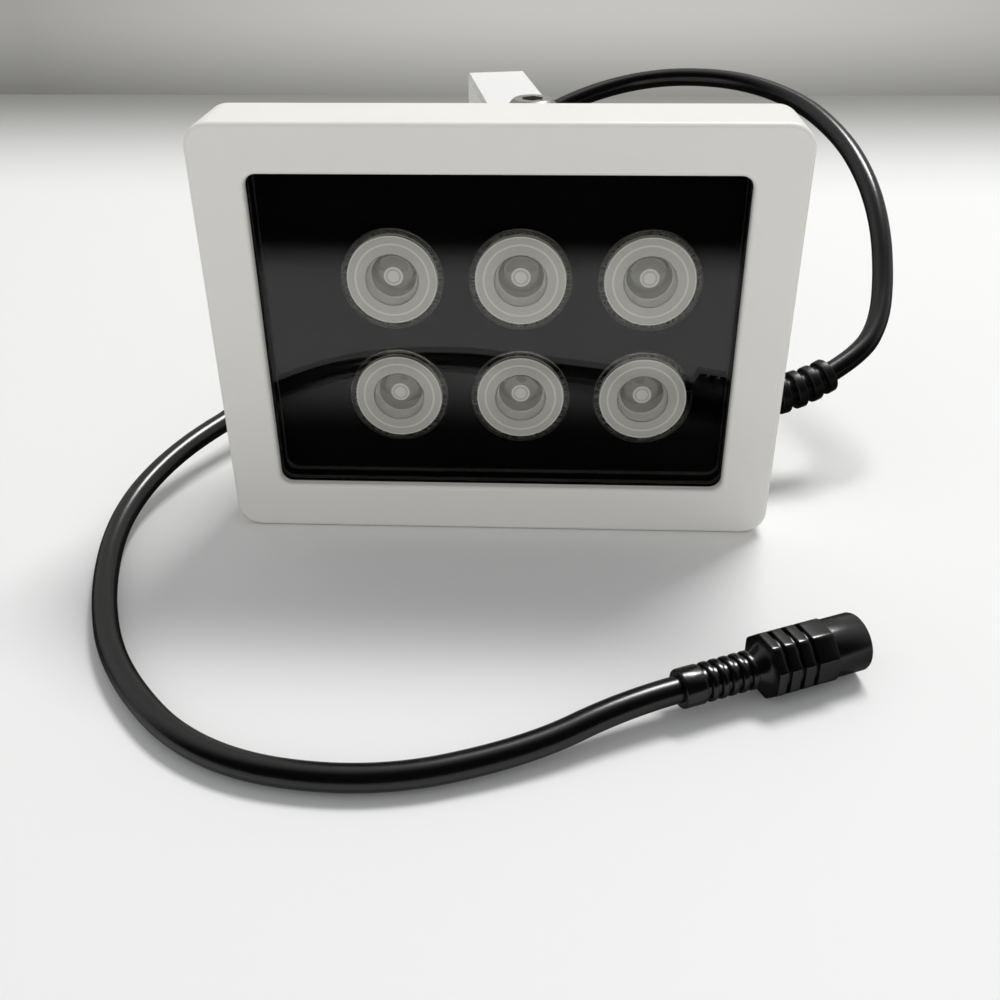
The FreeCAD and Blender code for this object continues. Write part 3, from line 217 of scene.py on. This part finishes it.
def rib(start, end, low, high, edge):
    """Raised ring in a (place, radius) profile, with quarter circles of radius edge."""
    a = np.linspace(0, np.pi / 2, 5)
    up = np.stack([start + edge * (1 - np.cos(a)), high - edge * (1 - np.sin(a))], 1)
    down = np.stack([end - edge * (1 - np.cos(a)), high - edge * (1 - np.sin(a))], 1)[::-1]
    return np.concatenate([[(start, low)], up, down, [(end, low)]])


def rounded_loop(width, height, radius, middle, steps=10):
    """Closed rounded rectangle (x, z): four quarter circles about the corners' centres."""
    quarter = np.linspace(0, np.pi / 2, steps)
    loops = []
    for k, (sx, sz) in enumerate([(1, 1), (-1, 1), (-1, -1), (1, -1)]):
        angle = quarter + k * np.pi / 2
        loops.append(np.stack([
            middle[0] + sx * (width / 2 - radius) + radius * np.cos(angle),
            middle[1] + sz * (height / 2 - radius) + radius * np.sin(angle)], 1))
    return np.concatenate(loops)


def loft(sections):
    """Skin rounded rectangles (width, height, radius, middle, y) in turn and cap both ends."""
    rows = []
    for width, height, radius, middle, y in sections:
        loop = rounded_loop(width, height, radius, middle)
        rows.append(np.stack([loop[:, 0], np.full(len(loop), y), loop[:, 1]], 1))
    rows = np.array(rows)
    count, columns = rows.shape[:2]
    faces = grid_faces(count, columns).tolist()
    faces.append(list(range(columns)))
    faces.append(list(range((count - 1) * columns, count * columns)))
    return rows.reshape(-1, 3), faces


# Materials
def linear(text):
    """Linear RGBA of an sRGB hex colour."""
    parts = [int(text[i:i + 2], 16) / 255 for i in (1, 3, 5)]
    return tuple(p / 12.92 if p <= 0.04045 else ((p + 0.055) / 1.055) ** 2.4
                 for p in parts) + (1.0,)


def add(tree, kind, settings=None, **links):
    """Add a node; settings set its properties or sockets, links join a socket to an output."""
    made = tree.nodes.new(kind)
    for key, setting in (settings or {}).items():
        if isinstance(key, int) or key in made.inputs:
            made.inputs[key].default_value = setting
        else:
            setattr(made, key, setting)
    for key, output in links.items():
        socket = made.inputs[int(key[1:])] if key[1:].isdigit() else made.inputs[
            key.replace("_", " ")]
        tree.links.new(output, socket)
    return made


def start_material(name):
    """Empty node material with its output node."""
    made = bpy.data.materials.new(name)
    made.use_nodes = True
    tree = made.node_tree
    tree.nodes.clear()
    return made, tree, tree.nodes.new("ShaderNodeOutputMaterial")


def finish(name, colour, roughness, grain, size, spread=0.06, metallic=0.0, mottle=0.0,
           reflection=0.5):
    """Opaque finish: base colour with faint mottle, uneven gloss and a fine bump.

    grain is the bump's strength and size its spacing in millimetres; spread is the swing in
    roughness and mottle the swing in colour.
    """
    made, tree, output = start_material(name)
    place = add(tree, "ShaderNodeTexCoord").outputs["Object"]
    fine, broad = (add(tree, "ShaderNodeTexNoise",
                       {"Scale": 1.0 / (spacing * MM), "Detail": detail}, Vector=place)
                   for spacing, detail in ((size, 2.0), (SWING_SPACING, 3.0)))
    swing = add(tree, "ShaderNodeMapRange",
                {"To Min": roughness - spread, "To Max": roughness + spread},
                Value=broad.outputs["Fac"])
    dark, light = (tuple(min(c * share, 1) for c in linear(colour)[:3]) + (1,)
                   for share in (1 - mottle, 1 + mottle))
    shades = add(tree, "ShaderNodeMix", {"data_type": "RGBA", 6: dark, 7: light},
                 Factor=broad.outputs["Fac"])
    bump = add(tree, "ShaderNodeBump", {"Strength": grain, "Distance": BUMP_DEPTH * MM},
               Height=fine.outputs["Fac"])
    shader = add(tree, "ShaderNodeBsdfPrincipled",
                 {"Metallic": metallic, "Specular IOR Level": reflection},
                 Roughness=swing.outputs["Result"], Normal=bump.outputs["Normal"],
                 Base_Color=shades.outputs[2])
    tree.links.new(shader.outputs["BSDF"], output.inputs["Surface"])
    return made


def clear(name, colour, ior=ACRYLIC_IOR, roughness=0.0, reflection=0.5, transmission=1.0):
    """Solid that lamps shine through: refracting shader, transparent to lamp rays.

    transmission is the share that passes; the rest is scattered back as from paint.
    """
    made, tree, output = start_material(name)
    shader = add(tree, "ShaderNodeBsdfPrincipled",
                 {"Base Color": linear(colour), "IOR": ior, "Roughness": roughness,
                  "Transmission Weight": transmission, "Specular IOR Level": reflection})
    through = add(tree, "ShaderNodeBsdfTransparent", {"Color": linear(colour)})
    path = add(tree, "ShaderNodeLightPath")
    mixed = add(tree, "ShaderNodeMixShader", None, Fac=path.outputs["Is Shadow Ray"])
    tree.links.new(shader.outputs["BSDF"], mixed.inputs[1])
    tree.links.new(through.outputs["BSDF"], mixed.inputs[2])
    tree.links.new(mixed.outputs["Shader"], output.inputs["Surface"])
    return made


FINISHES = {
    # Powder-coated die casting: satin, with the faint orange peel of the baked powder
    "powder_coated_casting": {"colour": "#f4f2ed", "roughness": 0.42, "grain": 0.25,
                              "size": 0.9, "spread": 0.05, "mottle": 0.01},
    # Same powder on pressed steel strip
    "powder_coated_strap": {"colour": "#f4f4f2", "roughness": 0.4, "grain": 0.22,
                            "size": 0.9, "spread": 0.05, "mottle": 0.01},
    # Stainless screws: turned, a little dull
    "turned_stainless": {"colour": "#b9b9b6", "roughness": 0.32, "grain": 0.15, "size": 0.5,
                         "spread": 0.08, "metallic": 1.0},
    # Black moulded polycarbonate mask behind the glass
    "moulded_black_mask": {"colour": "#020202", "roughness": 0.6, "grain": 0.1, "size": 0.6,
                           "reflection": 0.03},
    # Circuit board with white solder mask
    "white_solder_mask": {"colour": "#dcdcd6", "roughness": 0.35, "grain": 0.1, "size": 0.8},
    # Nitrile gasket and bushing rubber, moulded
    "moulded_rubber": {"colour": "#080808", "roughness": 0.36, "grain": 0.25, "size": 0.35},
    # Glossy PVC sheath, drawn through a die
    "drawn_pvc_sheath": {"colour": "#050506", "roughness": 0.25, "grain": 0.12, "size": 1.2,
                         "spread": 0.03, "reflection": 0.7},
    # Moulded PVC of the in-line socket
    "moulded_pvc": {"colour": "#050505", "roughness": 0.22, "grain": 0.2, "size": 0.4,
                    "spread": 0.05, "reflection": 0.75},
    # Nylon washers
    "moulded_nylon": {"colour": "#151515", "roughness": 0.5, "grain": 0.2, "size": 0.4},
    # Nickel-plated contacts
    "nickel_plate": {"colour": "#c9c4b6", "roughness": 0.22, "grain": 0.05, "size": 0.4,
                     "metallic": 1.0},
    # Sintered core of the driver's coil
    "ferrite": {"colour": "#242426", "roughness": 0.6, "grain": 0.3, "size": 0.4},
    # Deep-drawn can of the capacitor
    "drawn_aluminium_can": {"colour": "#c4c5c6", "roughness": 0.28, "grain": 0.05,
                            "size": 0.5, "metallic": 1.0},
    # Moulded polyamide terminal block
    "green_polyamide": {"colour": "#2c6b43", "roughness": 0.4, "grain": 0.15, "size": 0.5},
    # Pale ceramic-filled epoxy package of the emitter
    "white_epoxy": {"colour": "#9a9890", "roughness": 0.4, "grain": 0.1, "size": 0.4},
    # Emitter chip under its dome, dark with a warm cast
    "emitter_chip": {"colour": "#6a5a4c", "roughness": 0.3, "grain": 0.05, "size": 0.2},
}
CLEAR_SOLIDS = {
    # Cast silicone dome of the emitter
    "silicone_dome": {"colour": "#f6f4ee", "ior": 1.41},
    # Float glass of the window, bloomed against reflections
    "float_glass": {"colour": "#f7f6f3", "ior": 1.5, "reflection": 0.25},
    # Moulded acrylic lenses
    "moulded_acrylic": {"colour": "#fbfbf8"},
    # Their flanks: pale, letting little through, a painted reflection of the room's light that
    # the flank throws back
    "satin_acrylic": {"colour": "#fbf9f5", "roughness": 0.2, "transmission": 0.1},
    # Their rings, the dish's wall and the spot in the dish: nothing passes, painted pale as
    # bright reflections
    "ring_glint_acrylic": {"colour": "#fbfbf8", "roughness": 0.15, "transmission": 0.0},
    # Dish, the most polished part of the front, with a faint painted sheen
    "dish_sheen_acrylic": {"colour": "#f6f6f2", "roughness": 0.03, "transmission": 0.75},
    # Front between the rings and rings round the spot: painted sheen, letting little through
    "pale_sheen_acrylic": {"colour": "#f6f6f2", "roughness": 0.05, "transmission": 0.2},
}
MATERIALS = {name: finish(name, **row) for name, row in FINISHES.items()}
MATERIALS.update({name: clear(name, **row) for name, row in CLEAR_SOLIDS.items()})
# A lens's materials, in the order of its zones
LENS_MATERIALS = [MATERIALS[kind + "_acrylic"]
                  for kind in ("moulded", "satin", "ring_glint", "pale_sheen", "dish_sheen")]


# The lamp
def window_pane():
    """Glass: flat plate with a small ground chamfer round both faces."""
    low, high = box("front_glass")
    width, height = high[0] - low[0], high[2] - low[2]
    middle = ((low[0] + high[0]) / 2, (low[2] + high[2]) / 2)
    corner, cut = 5.0, 0.35
    sections = [(width - 2 * cut, height - 2 * cut, corner - cut, middle, low[1]),
                (width, height, corner, middle, low[1] + cut),
                (width, height, corner, middle, high[1] - cut),
                (width - 2 * cut, height - 2 * cut, corner - cut, middle, high[1])]
    points, faces = loft(sections)
    piece("window_pane", points, faces, [MATERIALS["float_glass"]],
          replaces="front_glass")


def lens_profile():
    """Half section (radius, depth): dish, flange, reflecting flank and emitter pocket."""
    s = LENS
    dish = (s["dish_floor"] ** 2 + s["dish_crown"] ** 2) / (2 * s["dish_crown"])
    roof = (s["pocket_roof"] ** 2 + s["pocket_crown"] ** 2) / (2 * s["pocket_crown"])
    rim, edge = 0.12, s["flange"]
    return np.concatenate([
        arc((0, s["dish_depth"] - s["dish_crown"]), (s["dish_floor"], s["dish_depth"]), dish,
            -1),
        [(s["dish_mouth"] - rim / 4, rim), (s["dish_mouth"] + rim, 0.0)],
        [(radius, 0.0) for ring in LENS_RINGS for radius in ring],
        [(edge - rim, 0.0), (edge, rim), (edge, s["flange_thickness"] - rim),
         (edge - rim, s["flange_thickness"])],
        arc((s["mouth"], s["flange_thickness"]), (s["root"], s["length"]), s["flank"], -1, 24),
        [(s["pocket_mouth"], s["length"])],
        arc((s["pocket_roof"], s["length"] - s["pocket_depth"]),
            (0, s["length"] - s["pocket_depth"] + s["pocket_crown"]), roof, -1)])


def lens(index):
    """Collimating lens, turned about its own axis."""
    low, high = box("lens_%d" % index)
    centre = ((low[0] + high[0]) / 2, low[1], (low[2] + high[2]) / 2)
    points, faces = revolve(lens_profile(), centre, (0, 1, 0), (1, 0, 0))

    def zones(middles):
        """Clear rim 0, flank 1, rings 2, front 3, dish 4; all but the rim pale with painted
        reflection.
        """
        radius = np.hypot(middles[:, 0] - centre[0], middles[:, 2] - centre[2])
        depth = middles[:, 1] - centre[1]
        front = (depth < 0.01) & (radius < LENS_RINGS[-1][1])
        floor = (depth < LENS["dish_depth"] + 0.01) & (radius < LENS["dish_floor"])
        core, gap, spot, fringe = LENS_SPOT
        ring = ~front & ~floor & (radius < LENS["dish_mouth"]) & (depth < LENS["dish_depth"])
        ring |= floor & ((radius < core) | ((radius > gap) & (radius < spot)))
        for inner, outer in LENS_RINGS:
            ring |= front & (radius > inner) & (radius < outer)
        flank = (radius > LENS["root"]) & (depth > LENS["flange_thickness"] - 0.01)
        zone = np.where(front | (floor & (radius < fringe)), 3, np.where(floor, 4, 0))
        return np.where(flank, 1, np.where(ring, 2, zone))

    piece("collimator_%d" % index, points, faces, LENS_MATERIALS,
          replaces="lens_%d" % index, sharp=30, zones=zones)


def emitter(index):
    """Infrared emitter: moulded package with a cup, its chip and a clear dome."""
    low, high = box("emitter_%d" % index)
    side, base, dome = high[0] - low[0], 0.7, 1.5
    middle = ((low[0] + high[0]) / 2, (low[2] + high[2]) / 2)
    back, face = high[1], high[1] - base
    edge = 0.2
    sections = [(side, side, edge, middle, back), (side, side, edge, middle, face + edge / 2),
                (side - edge, side - edge, edge, middle, face),
                (2 * dome, 2 * dome, dome - 0.01, middle, face)]
    points, faces = loft(sections)
    piece("emitter_package_%d" % index, points, faces, [MATERIALS["white_epoxy"]],
          replaces="emitter_%d" % index)
    chip, corner, lift = 1.1, 0.05, 0.15
    points, faces = loft([(chip, chip, corner, middle, y) for y in (face, face - lift)])
    piece("emitter_chip_%d" % index, points, faces, [MATERIALS["emitter_chip"]])
    t = np.linspace(0, np.pi / 2, 14)
    profile = np.concatenate([[(0.0, 0.0)], np.stack([dome * np.cos(t), dome * np.sin(t)], 1)])
    gap = 0.002
    points, faces = revolve(profile, (middle[0], face - gap, middle[1]), (0, -1, 0),
                            (1, 0, 0), 48)
    piece("emitter_dome_%d" % index, points, faces, [MATERIALS["silicone_dome"]])


def bushing_line(place):
    """Middle line of the bushing and its tangent at places along it, in millimetres.

    Straight before the wall, then a bend: base + bend * (sin a * X + (1 - cos a) * side).
    """
    roll, bend = math.radians(BUSHING["roll"]), BUSHING["bend"]
    out = np.array([1.0, 0.0, 0.0])
    side = np.array([0.0, math.cos(roll), math.sin(roll)])
    place = np.atleast_1d(np.asarray(place, float))
    a = np.maximum(place, 0.0)[:, None] / bend
    line = (np.array(BUSHING["base"]) + bend * (np.sin(a) * out + (1 - np.cos(a)) * side)
            + np.minimum(place, 0.0)[:, None] * out)
    return line, np.cos(a) * out + np.sin(a) * side, np.cross(out, side)


def bushing():
    """Ribbed sleeve: lip, neck, collar and falling rings along the bent middle line."""
    s = BUSHING
    total = s["bend"] * math.radians(s["turn"])
    inside = -s["wall"] - s["lip_thickness"]
    edge, ring_edge = 0.3, 0.35
    profile = [[(inside, 0.0)], rib(inside, -s["wall"], s["neck"], s["lip"], edge),
               [(0.0, s["neck"])],
               rib(0.0, s["collar_thickness"], s["neck"], s["collar"], edge)]
    step = (total - s["collar_thickness"]) / s["rings"]
    for i in range(s["rings"]):
        end = s["collar_thickness"] + step * (i + 1)
        profile.append(rib(end - s["ring_width"], end, s["core"],
                           s["ring"] - s["ring_fall"] * i, ring_edge))
    profile.append([(total, 0.0)])
    profile = np.concatenate(profile)
    line, tangent, across = bushing_line(profile[:, 0])
    points, faces = sleeve(line, tangent, across, profile[:, 1], 72)
    return piece("ribbed_bushing", points, faces, [MATERIALS["moulded_rubber"]],
                 replaces="cord_bushing", sharp=50)


def socket_axis():
    """Start and heading of the in-line socket's middle line."""
    turn = math.radians(SOCKET["turn"])
    return np.array(SOCKET["start"]), np.array([math.cos(turn), math.sin(turn), 0.0])


def socket_profile():
    """Rows (place, radius, share) along the socket; share 1 is eight-sided and 0 is round."""
    s = SOCKET
    ribs_end = s["sleeve_length"] + s["ribs"] * s["rib_pitch"]
    grip = ribs_end + s["flare"]
    barrel = grip + s["grip"]
    end = barrel + s["barrel_length"]
    sleeve_edge, rib_edge = 0.4, 0.35
    rows = [[(0.0, 0.0)],
            rib(0.0, s["sleeve_length"], s["neck"], s["sleeve"], sleeve_edge)[1:]]
    for i in range(s["ribs"]):
        stop = s["sleeve_length"] + s["rib_pitch"] * (i + 1)
        rows.append(rib(stop - s["rib_width"], stop, s["neck"], s["sleeve"], rib_edge))
    rows.append(arc((ribs_end, s["neck"]), (grip, s["barrel"]), s["flare_radius"], -1, 12)[1:])
    flats, cut = s["flats"] / 2, 0.2
    edges = [grip]
    for i in range(s["grooves"]):
        middle = grip + s["groove_first"] + s["groove_pitch"] * i
        edges += [middle - s["groove_width"] / 2, middle + s["groove_width"] / 2]
    edges.append(barrel)
    share = [np.zeros(sum(len(row) for row in rows))]
    for start, stop in zip(edges[::2], edges[1::2]):
        low = s["barrel"] if start == grip else flats - s["groove_depth"]
        last = s["barrel"] if stop == barrel else flats - s["groove_depth"]
        land = rib(start, stop, low, flats, cut)
        land[-1, 1] = last
        rows.append(land)
        inner = np.ones(len(land))
        inner[[0, -1]] = 0.0
        share.append(inner)
    tip, eased, mouth = 0.4, 0.12, 0.2
    tail = np.array([(end - tip, s["barrel"]), (end - eased, s["barrel"] - eased),
                     (end, s["barrel"] - tip), (end, s["bore"] + mouth),
                     (end - mouth, s["bore"]), (end - s["bore_depth"], s["bore"]),
                     (end - s["bore_depth"], 0.0)])
    rows.append(tail)
    share.append(np.zeros(len(tail)))
    return np.concatenate(rows), np.concatenate(share)


def socket():
    """In-line socket: round sections blended with an eight-sided one along its middle line.

    Eight-sided radius = r / (sum over the flats of cos(t - flat)^p)^(1/p), which rounds its
    corners; a flat lies at the top and at the foot.
    """
    profile, share = socket_profile()
    segments, power = 192, 44.0
    t = np.linspace(0, 2 * np.pi, segments, endpoint=False)
    flats = np.arange(8) * np.pi / 4
    facing = np.maximum(np.cos(t[:, None] - flats[None]), 0.0)
    eight = 1.0 / (facing ** power).sum(axis=1) ** (1.0 / power)
    radii = profile[:, 1, None] * (1 - share[:, None] + share[:, None] * eight[None])
    start, heading = socket_axis()
    line = start + profile[:, 0, None] * heading
    points, faces = sleeve(line, np.tile(heading, (len(line), 1)), (0.0, 0.0, 1.0), radii,
                           segments)
    return piece("socket_shell", points, faces, [MATERIALS["moulded_pvc"]],
                 replaces="connector_body", sharp=40)


def cord_points():
    """Route of the cord: a lead out of the bushing, the route, a lead to the socket."""
    end, tangent, _ = bushing_line(BUSHING["bend"] * math.radians(BUSHING["turn"]))
    start, heading = socket_axis()
    first = [end[0], end[0] + CORD_LEAD * tangent[0]]
    last = [start - CORD_LEAD * heading, start]
    return np.concatenate([first, CORD_ROUTE, last]) * MM


def cord(with_pieces):
    """Free cord: a smooth spline over the route's points, bevelled to the sheath's radius."""
    points = cord_points()
    curve = bpy.data.curves.new("supply_cord", "CURVE")
    curve.dimensions = "3D"
    spline = curve.splines.new("NURBS")
    spline.points.add(len(points) - 1)
    spline.points.foreach_set("co", np.column_stack([points, np.ones(len(points))]).ravel())
    spline.order_u = 3
    spline.use_endpoint_u = True
    spline.resolution_u = 16
    curve.bevel_depth = CORD_RADIUS * MM
    curve.bevel_resolution = 8
    curve.use_fill_caps = True
    made = bpy.data.objects.new("supply_cord", curve)
    bpy.context.scene.collection.objects.link(made)
    curve.materials.append(MATERIALS["drawn_pvc_sheath"])
    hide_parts("cord")
    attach(made, "lamp")


CAD_FINISHES = {
    "powder_coated_casting": ["front_frame", "rear_housing"],
    "powder_coated_strap": ["bracket"],
    "moulded_rubber": ["glass_seal", "housing_seal", "cord_bushing"],
    "moulded_black_mask": ["mask_plate"],
    "white_solder_mask": ["led_board", "driver_board"],
    "turned_stainless": ["board_screws", "driver_screws", "frame_screws", "pivot_bolt_top",
                         "pivot_bolt_bottom", "pivot_washer_top", "pivot_washer_bottom"],
    "moulded_nylon": ["friction_washer_top", "friction_washer_bottom"],
    "ferrite": ["driver_coil"],
    "drawn_aluminium_can": ["driver_capacitor"],
    "green_polyamide": ["driver_terminal"],
    "float_glass": ["front_glass"],
    "drawn_pvc_sheath": ["cord"],
    "moulded_pvc": ["connector_body", "connector_insert"],
    "nickel_plate": ["connector_pin", "connector_spring"],
    "moulded_acrylic": ["lens_%d" % i for i in range(1, LENS_COUNT + 1)],
    "white_epoxy": ["emitter_%d" % i for i in range(1, LENS_COUNT + 1)],
}
for kind, names in CAD_FINISHES.items():
    for name in names:
        for slot in frame["nodes"][name].material_slots:
            slot.material = MATERIALS[kind]

window_pane()
for number in range(1, LENS_COUNT + 1):
    lens(number)
    emitter(number)
cord([bushing(), socket()] + [frame["nodes"][name] for name in (
    "connector_insert", "connector_pin", "connector_spring")])


# Stage, light and camera
def stage_panel(name, corners, material):
    """Flat stage panel from four corners in metres."""
    mesh = bpy.data.meshes.new(name)
    mesh.from_pydata(corners, [], [(0, 1, 2, 3)])
    made = bpy.data.objects.new(name, mesh)
    bpy.context.scene.collection.objects.link(made)
    mesh.materials.append(material)
    return made


def mirror_ray(tree):
    """1 for rays thrown back by the window or another smooth face, 0 for all others.

    A ray that has come out of a lens again has passed four or more surfaces of the glass.
    """
    path = add(tree, "ShaderNodeLightPath")
    few = add(tree, "ShaderNodeMath", {"operation": "LESS_THAN", 1: MIRROR_PASSES},
              _0=path.outputs["Transmission Depth"])
    return add(tree, "ShaderNodeMath", {"operation": "MULTIPLY"},
               _0=path.outputs["Is Glossy Ray"], _1=few.outputs[0]).outputs[0]


def table():
    """Matt pale table top with painted shade darkening it towards the backdrop.

    Mirror images find it black beyond 200 mm in front, a painted dark reflection, and
    darkening towards the lamp's foot, a painted shadow.
    """
    made, tree, output = start_material("matt_table")
    place = add(tree, "ShaderNodeTexCoord").outputs["Object"]
    parts = add(tree, "ShaderNodeSeparateXYZ", None, Vector=place)
    back, mirror_foot_shade, mirror_table_reach = (add(tree, "ShaderNodeMapRange",
                           {"interpolation_type": "SMOOTHSTEP", "From Min": start,
                            "From Max": end}, Value=parts.outputs["Y"]).outputs["Result"]
                       for start, end in (TABLE_SHADE_FADE, MIRROR_FOOT_SHADE, MIRROR_START))
    # Painted shade along the backdrop's foot: the table darkens towards it
    plain = add(tree, "ShaderNodeMix",
                {"data_type": "RGBA", 6: linear("#f0f0ef"), 7: linear("#868683")}, Factor=back)
    # Painted shadow towards the lamp's foot and painted dark reflection in front, for mirror
    # images alone
    mirrored = add(tree, "ShaderNodeMix",
                   {"data_type": "RGBA", 6: linear("#c6c6c6"), 7: linear("#1c1c1c")},
                   Factor=mirror_foot_shade)
    front = add(tree, "ShaderNodeMix", {"data_type": "RGBA", 6: linear("#000000")}, Factor=mirror_table_reach)
    tree.links.new(mirrored.outputs[2], front.inputs[7])
    colour = add(tree, "ShaderNodeMix", {"data_type": "RGBA"}, Factor=mirror_ray(tree))
    tree.links.new(plain.outputs[2], colour.inputs[6])
    tree.links.new(front.outputs[2], colour.inputs[7])
    shader = add(tree, "ShaderNodeBsdfPrincipled",
                 {"Roughness": 0.6, "Specular IOR Level": 0.2}, Base_Color=colour.outputs[2])
    tree.links.new(shader.outputs["BSDF"], output.inputs["Surface"])
    r = STAGE_REACH
    stage_panel("table", [(-r, -r, 0), (r, -r, 0), (r, r, 0), (-r, r, 0)], made)


def wall():
    """Grey backdrop, seen from the front only: painted shade darkens it along its foot and to
    both sides.

    Painted side shade: 1 - WALL_FALL * (x - WALL_MIDDLE) squared, no less than WALL_LEAST.
    """
    made, tree, output = start_material("soft_backdrop")
    place = add(tree, "ShaderNodeTexCoord").outputs["Object"]
    parts = add(tree, "ShaderNodeSeparateXYZ", None, Vector=place)
    foot_shade_fade = add(tree, "ShaderNodeMapRange",
               {"interpolation_type": "SMOOTHSTEP", "From Min": WALL_FOOT_SHADE[0],
                "From Max": WALL_FOOT_SHADE[1]}, Value=parts.outputs["Z"])
    # Painted shade: darker along the backdrop's foot
    ramp = add(tree, "ShaderNodeMix", {"data_type": "RGBA", 6: linear("#6b6b68"),
                                       7: linear("#c5c4c1")}, Factor=foot_shade_fade.outputs["Result"])
    # Painted shade: darker to both sides
    aside = add(tree, "ShaderNodeMath", {"operation": "SUBTRACT", 1: WALL_MIDDLE},
                _0=parts.outputs["X"])
    square = add(tree, "ShaderNodeMath", {"operation": "MULTIPLY"}, _0=aside.outputs[0],
                 _1=aside.outputs[0])
    side_shade = add(tree, "ShaderNodeMath",
                  {"operation": "MULTIPLY_ADD", 1: -WALL_FALL, 2: 1.0}, _0=square.outputs[0])
    across = add(tree, "ShaderNodeMath", {"operation": "MAXIMUM", 1: WALL_LEAST},
                 _0=side_shade.outputs[0])
    glow = add(tree, "ShaderNodeEmission", None, Color=ramp.outputs[2],
               Strength=across.outputs[0])
    shader = add(tree, "ShaderNodeBsdfDiffuse", {"Color": linear("#c9c8c4")})
    path = add(tree, "ShaderNodeLightPath")
    seen = add(tree, "ShaderNodeMixShader", None, Fac=path.outputs["Is Camera Ray"])
    tree.links.new(shader.outputs["BSDF"], seen.inputs[1])
    tree.links.new(glow.outputs["Emission"], seen.inputs[2])
    behind = add(tree, "ShaderNodeNewGeometry")
    through = add(tree, "ShaderNodeBsdfTransparent")
    whole = add(tree, "ShaderNodeMixShader", None, Fac=behind.outputs["Backfacing"])
    tree.links.new(seen.outputs["Shader"], whole.inputs[1])
    tree.links.new(through.outputs["BSDF"], whole.inputs[2])
    tree.links.new(whole.outputs["Shader"], output.inputs["Surface"])
    panel = stage_panel("backdrop", [(x, WALL_PLACE, z) for x, z in (
        (-STAGE_REACH, 0), (STAGE_REACH, 0), (STAGE_REACH, WALL_HEIGHT),
        (-STAGE_REACH, WALL_HEIGHT))], made)
    panel.visible_shadow = False


def area_lamp(name, place, target, size, watts):
    """Soft box: a white lamp of a width and height in metres at a place, facing a target."""
    data = bpy.data.lights.new(name, "AREA")
    data.shape = "RECTANGLE"
    data.size, data.size_y = size
    data.energy = watts
    made = bpy.data.objects.new(name, data)
    bpy.context.scene.collection.objects.link(made)
    ahead = np.array(target, float) - np.array(place, float)
    ahead /= np.linalg.norm(ahead)
    side = np.cross(ahead, (0, 0, 1))
    side /= np.linalg.norm(side)
    up = np.cross(side, ahead)
    made.matrix_world = Matrix([[side[i], up[i], -ahead[i], place[i]] for i in range(3)]
                               + [[0, 0, 0, 1]])


def camera():
    """Camera at the photograph's place: rows are its right, down and forward directions."""
    right, down, ahead = (np.array(v) for v in (
        (0.998951, 0.045134, -0.007777), (0.016926, -0.521604, -0.853020),
        (-0.042557, 0.851993, -0.521821)))
    place = np.array([10.264, -210.340, 131.430]) * MM
    data = bpy.data.cameras.new("camera")
    data.sensor_width = 36.0
    data.lens = 39.6
    data.clip_start = 0.005
    made = bpy.data.objects.new("camera", data)
    bpy.context.scene.collection.objects.link(made)
    made.matrix_world = Matrix([[right[i], -down[i], -ahead[i], place[i]] for i in range(3)]
                               + [[0, 0, 0, 1]])
    bpy.context.scene.camera = made


def world():
    """Room light by direction: strength = 0.6 + 0.15 * |y| - 0.17 * |z|.

    It is brightest level with the table, in front and behind.  Mirror images find the room
    dark in front, a painted dark reflection, and rays that have come through glass find it
    LENS_FIELD times as bright.
    """
    made = bpy.data.worlds.new("room")
    bpy.context.scene.world = made
    made.use_nodes = True
    tree = made.node_tree
    tree.nodes.clear()
    output = tree.nodes.new("ShaderNodeOutputWorld")
    way = add(tree, "ShaderNodeTexCoord").outputs["Generated"]
    apart = add(tree, "ShaderNodeVectorMath", {"operation": "ABSOLUTE"}, _0=way)
    level = add(tree, "ShaderNodeVectorMath", {"operation": "DOT_PRODUCT", 1: ROOM_SLOPE},
                _0=apart.outputs["Vector"])
    strength = add(tree, "ShaderNodeMath", {"operation": "ADD", 1: ROOM_LEVEL},
                   _0=level.outputs["Value"])
    parts = add(tree, "ShaderNodeSeparateXYZ", None, Vector=way)
    # Painted dark reflection: the room in front goes dark for mirror images alone
    front = add(tree, "ShaderNodeMapRange",
                {"From Min": ROOM_DARK[0], "From Max": ROOM_DARK[1]}, Value=parts.outputs["Y"])
    mirrored = add(tree, "ShaderNodeMath", {"operation": "MULTIPLY"},
                   _0=strength.outputs[0], _1=front.outputs["Result"])
    path = add(tree, "ShaderNodeLightPath")
    seen = add(tree, "ShaderNodeMix", {"data_type": "FLOAT"}, Factor=mirror_ray(tree))
    tree.links.new(strength.outputs[0], seen.inputs[2])
    tree.links.new(mirrored.outputs[0], seen.inputs[3])
    gain = add(tree, "ShaderNodeMapRange", {"To Min": 1.0, "To Max": LENS_FIELD},
               Value=path.outputs["Is Transmission Ray"])
    whole = add(tree, "ShaderNodeMath", {"operation": "MULTIPLY"}, _0=seen.outputs[0],
                _1=gain.outputs["Result"])
    shader = add(tree, "ShaderNodeBackground", {"Color": linear("#f6f7f8")},
                 Strength=whole.outputs[0])
    tree.links.new(shader.outputs["Background"], output.inputs["Surface"])


table()
wall()
world()
area_lamp("window_light", place=(0.5, 0.84, 1.7), target=(0, 0, 0.03), size=(0.75, 0.4),
          watts=25.5)
camera()
bpy.context.scene.view_settings.view_transform = "Standard"
# The lenses pass light on many times before it leaves them
cycles = bpy.context.scene.cycles
cycles.max_bounces = cycles.transmission_bounces = 32
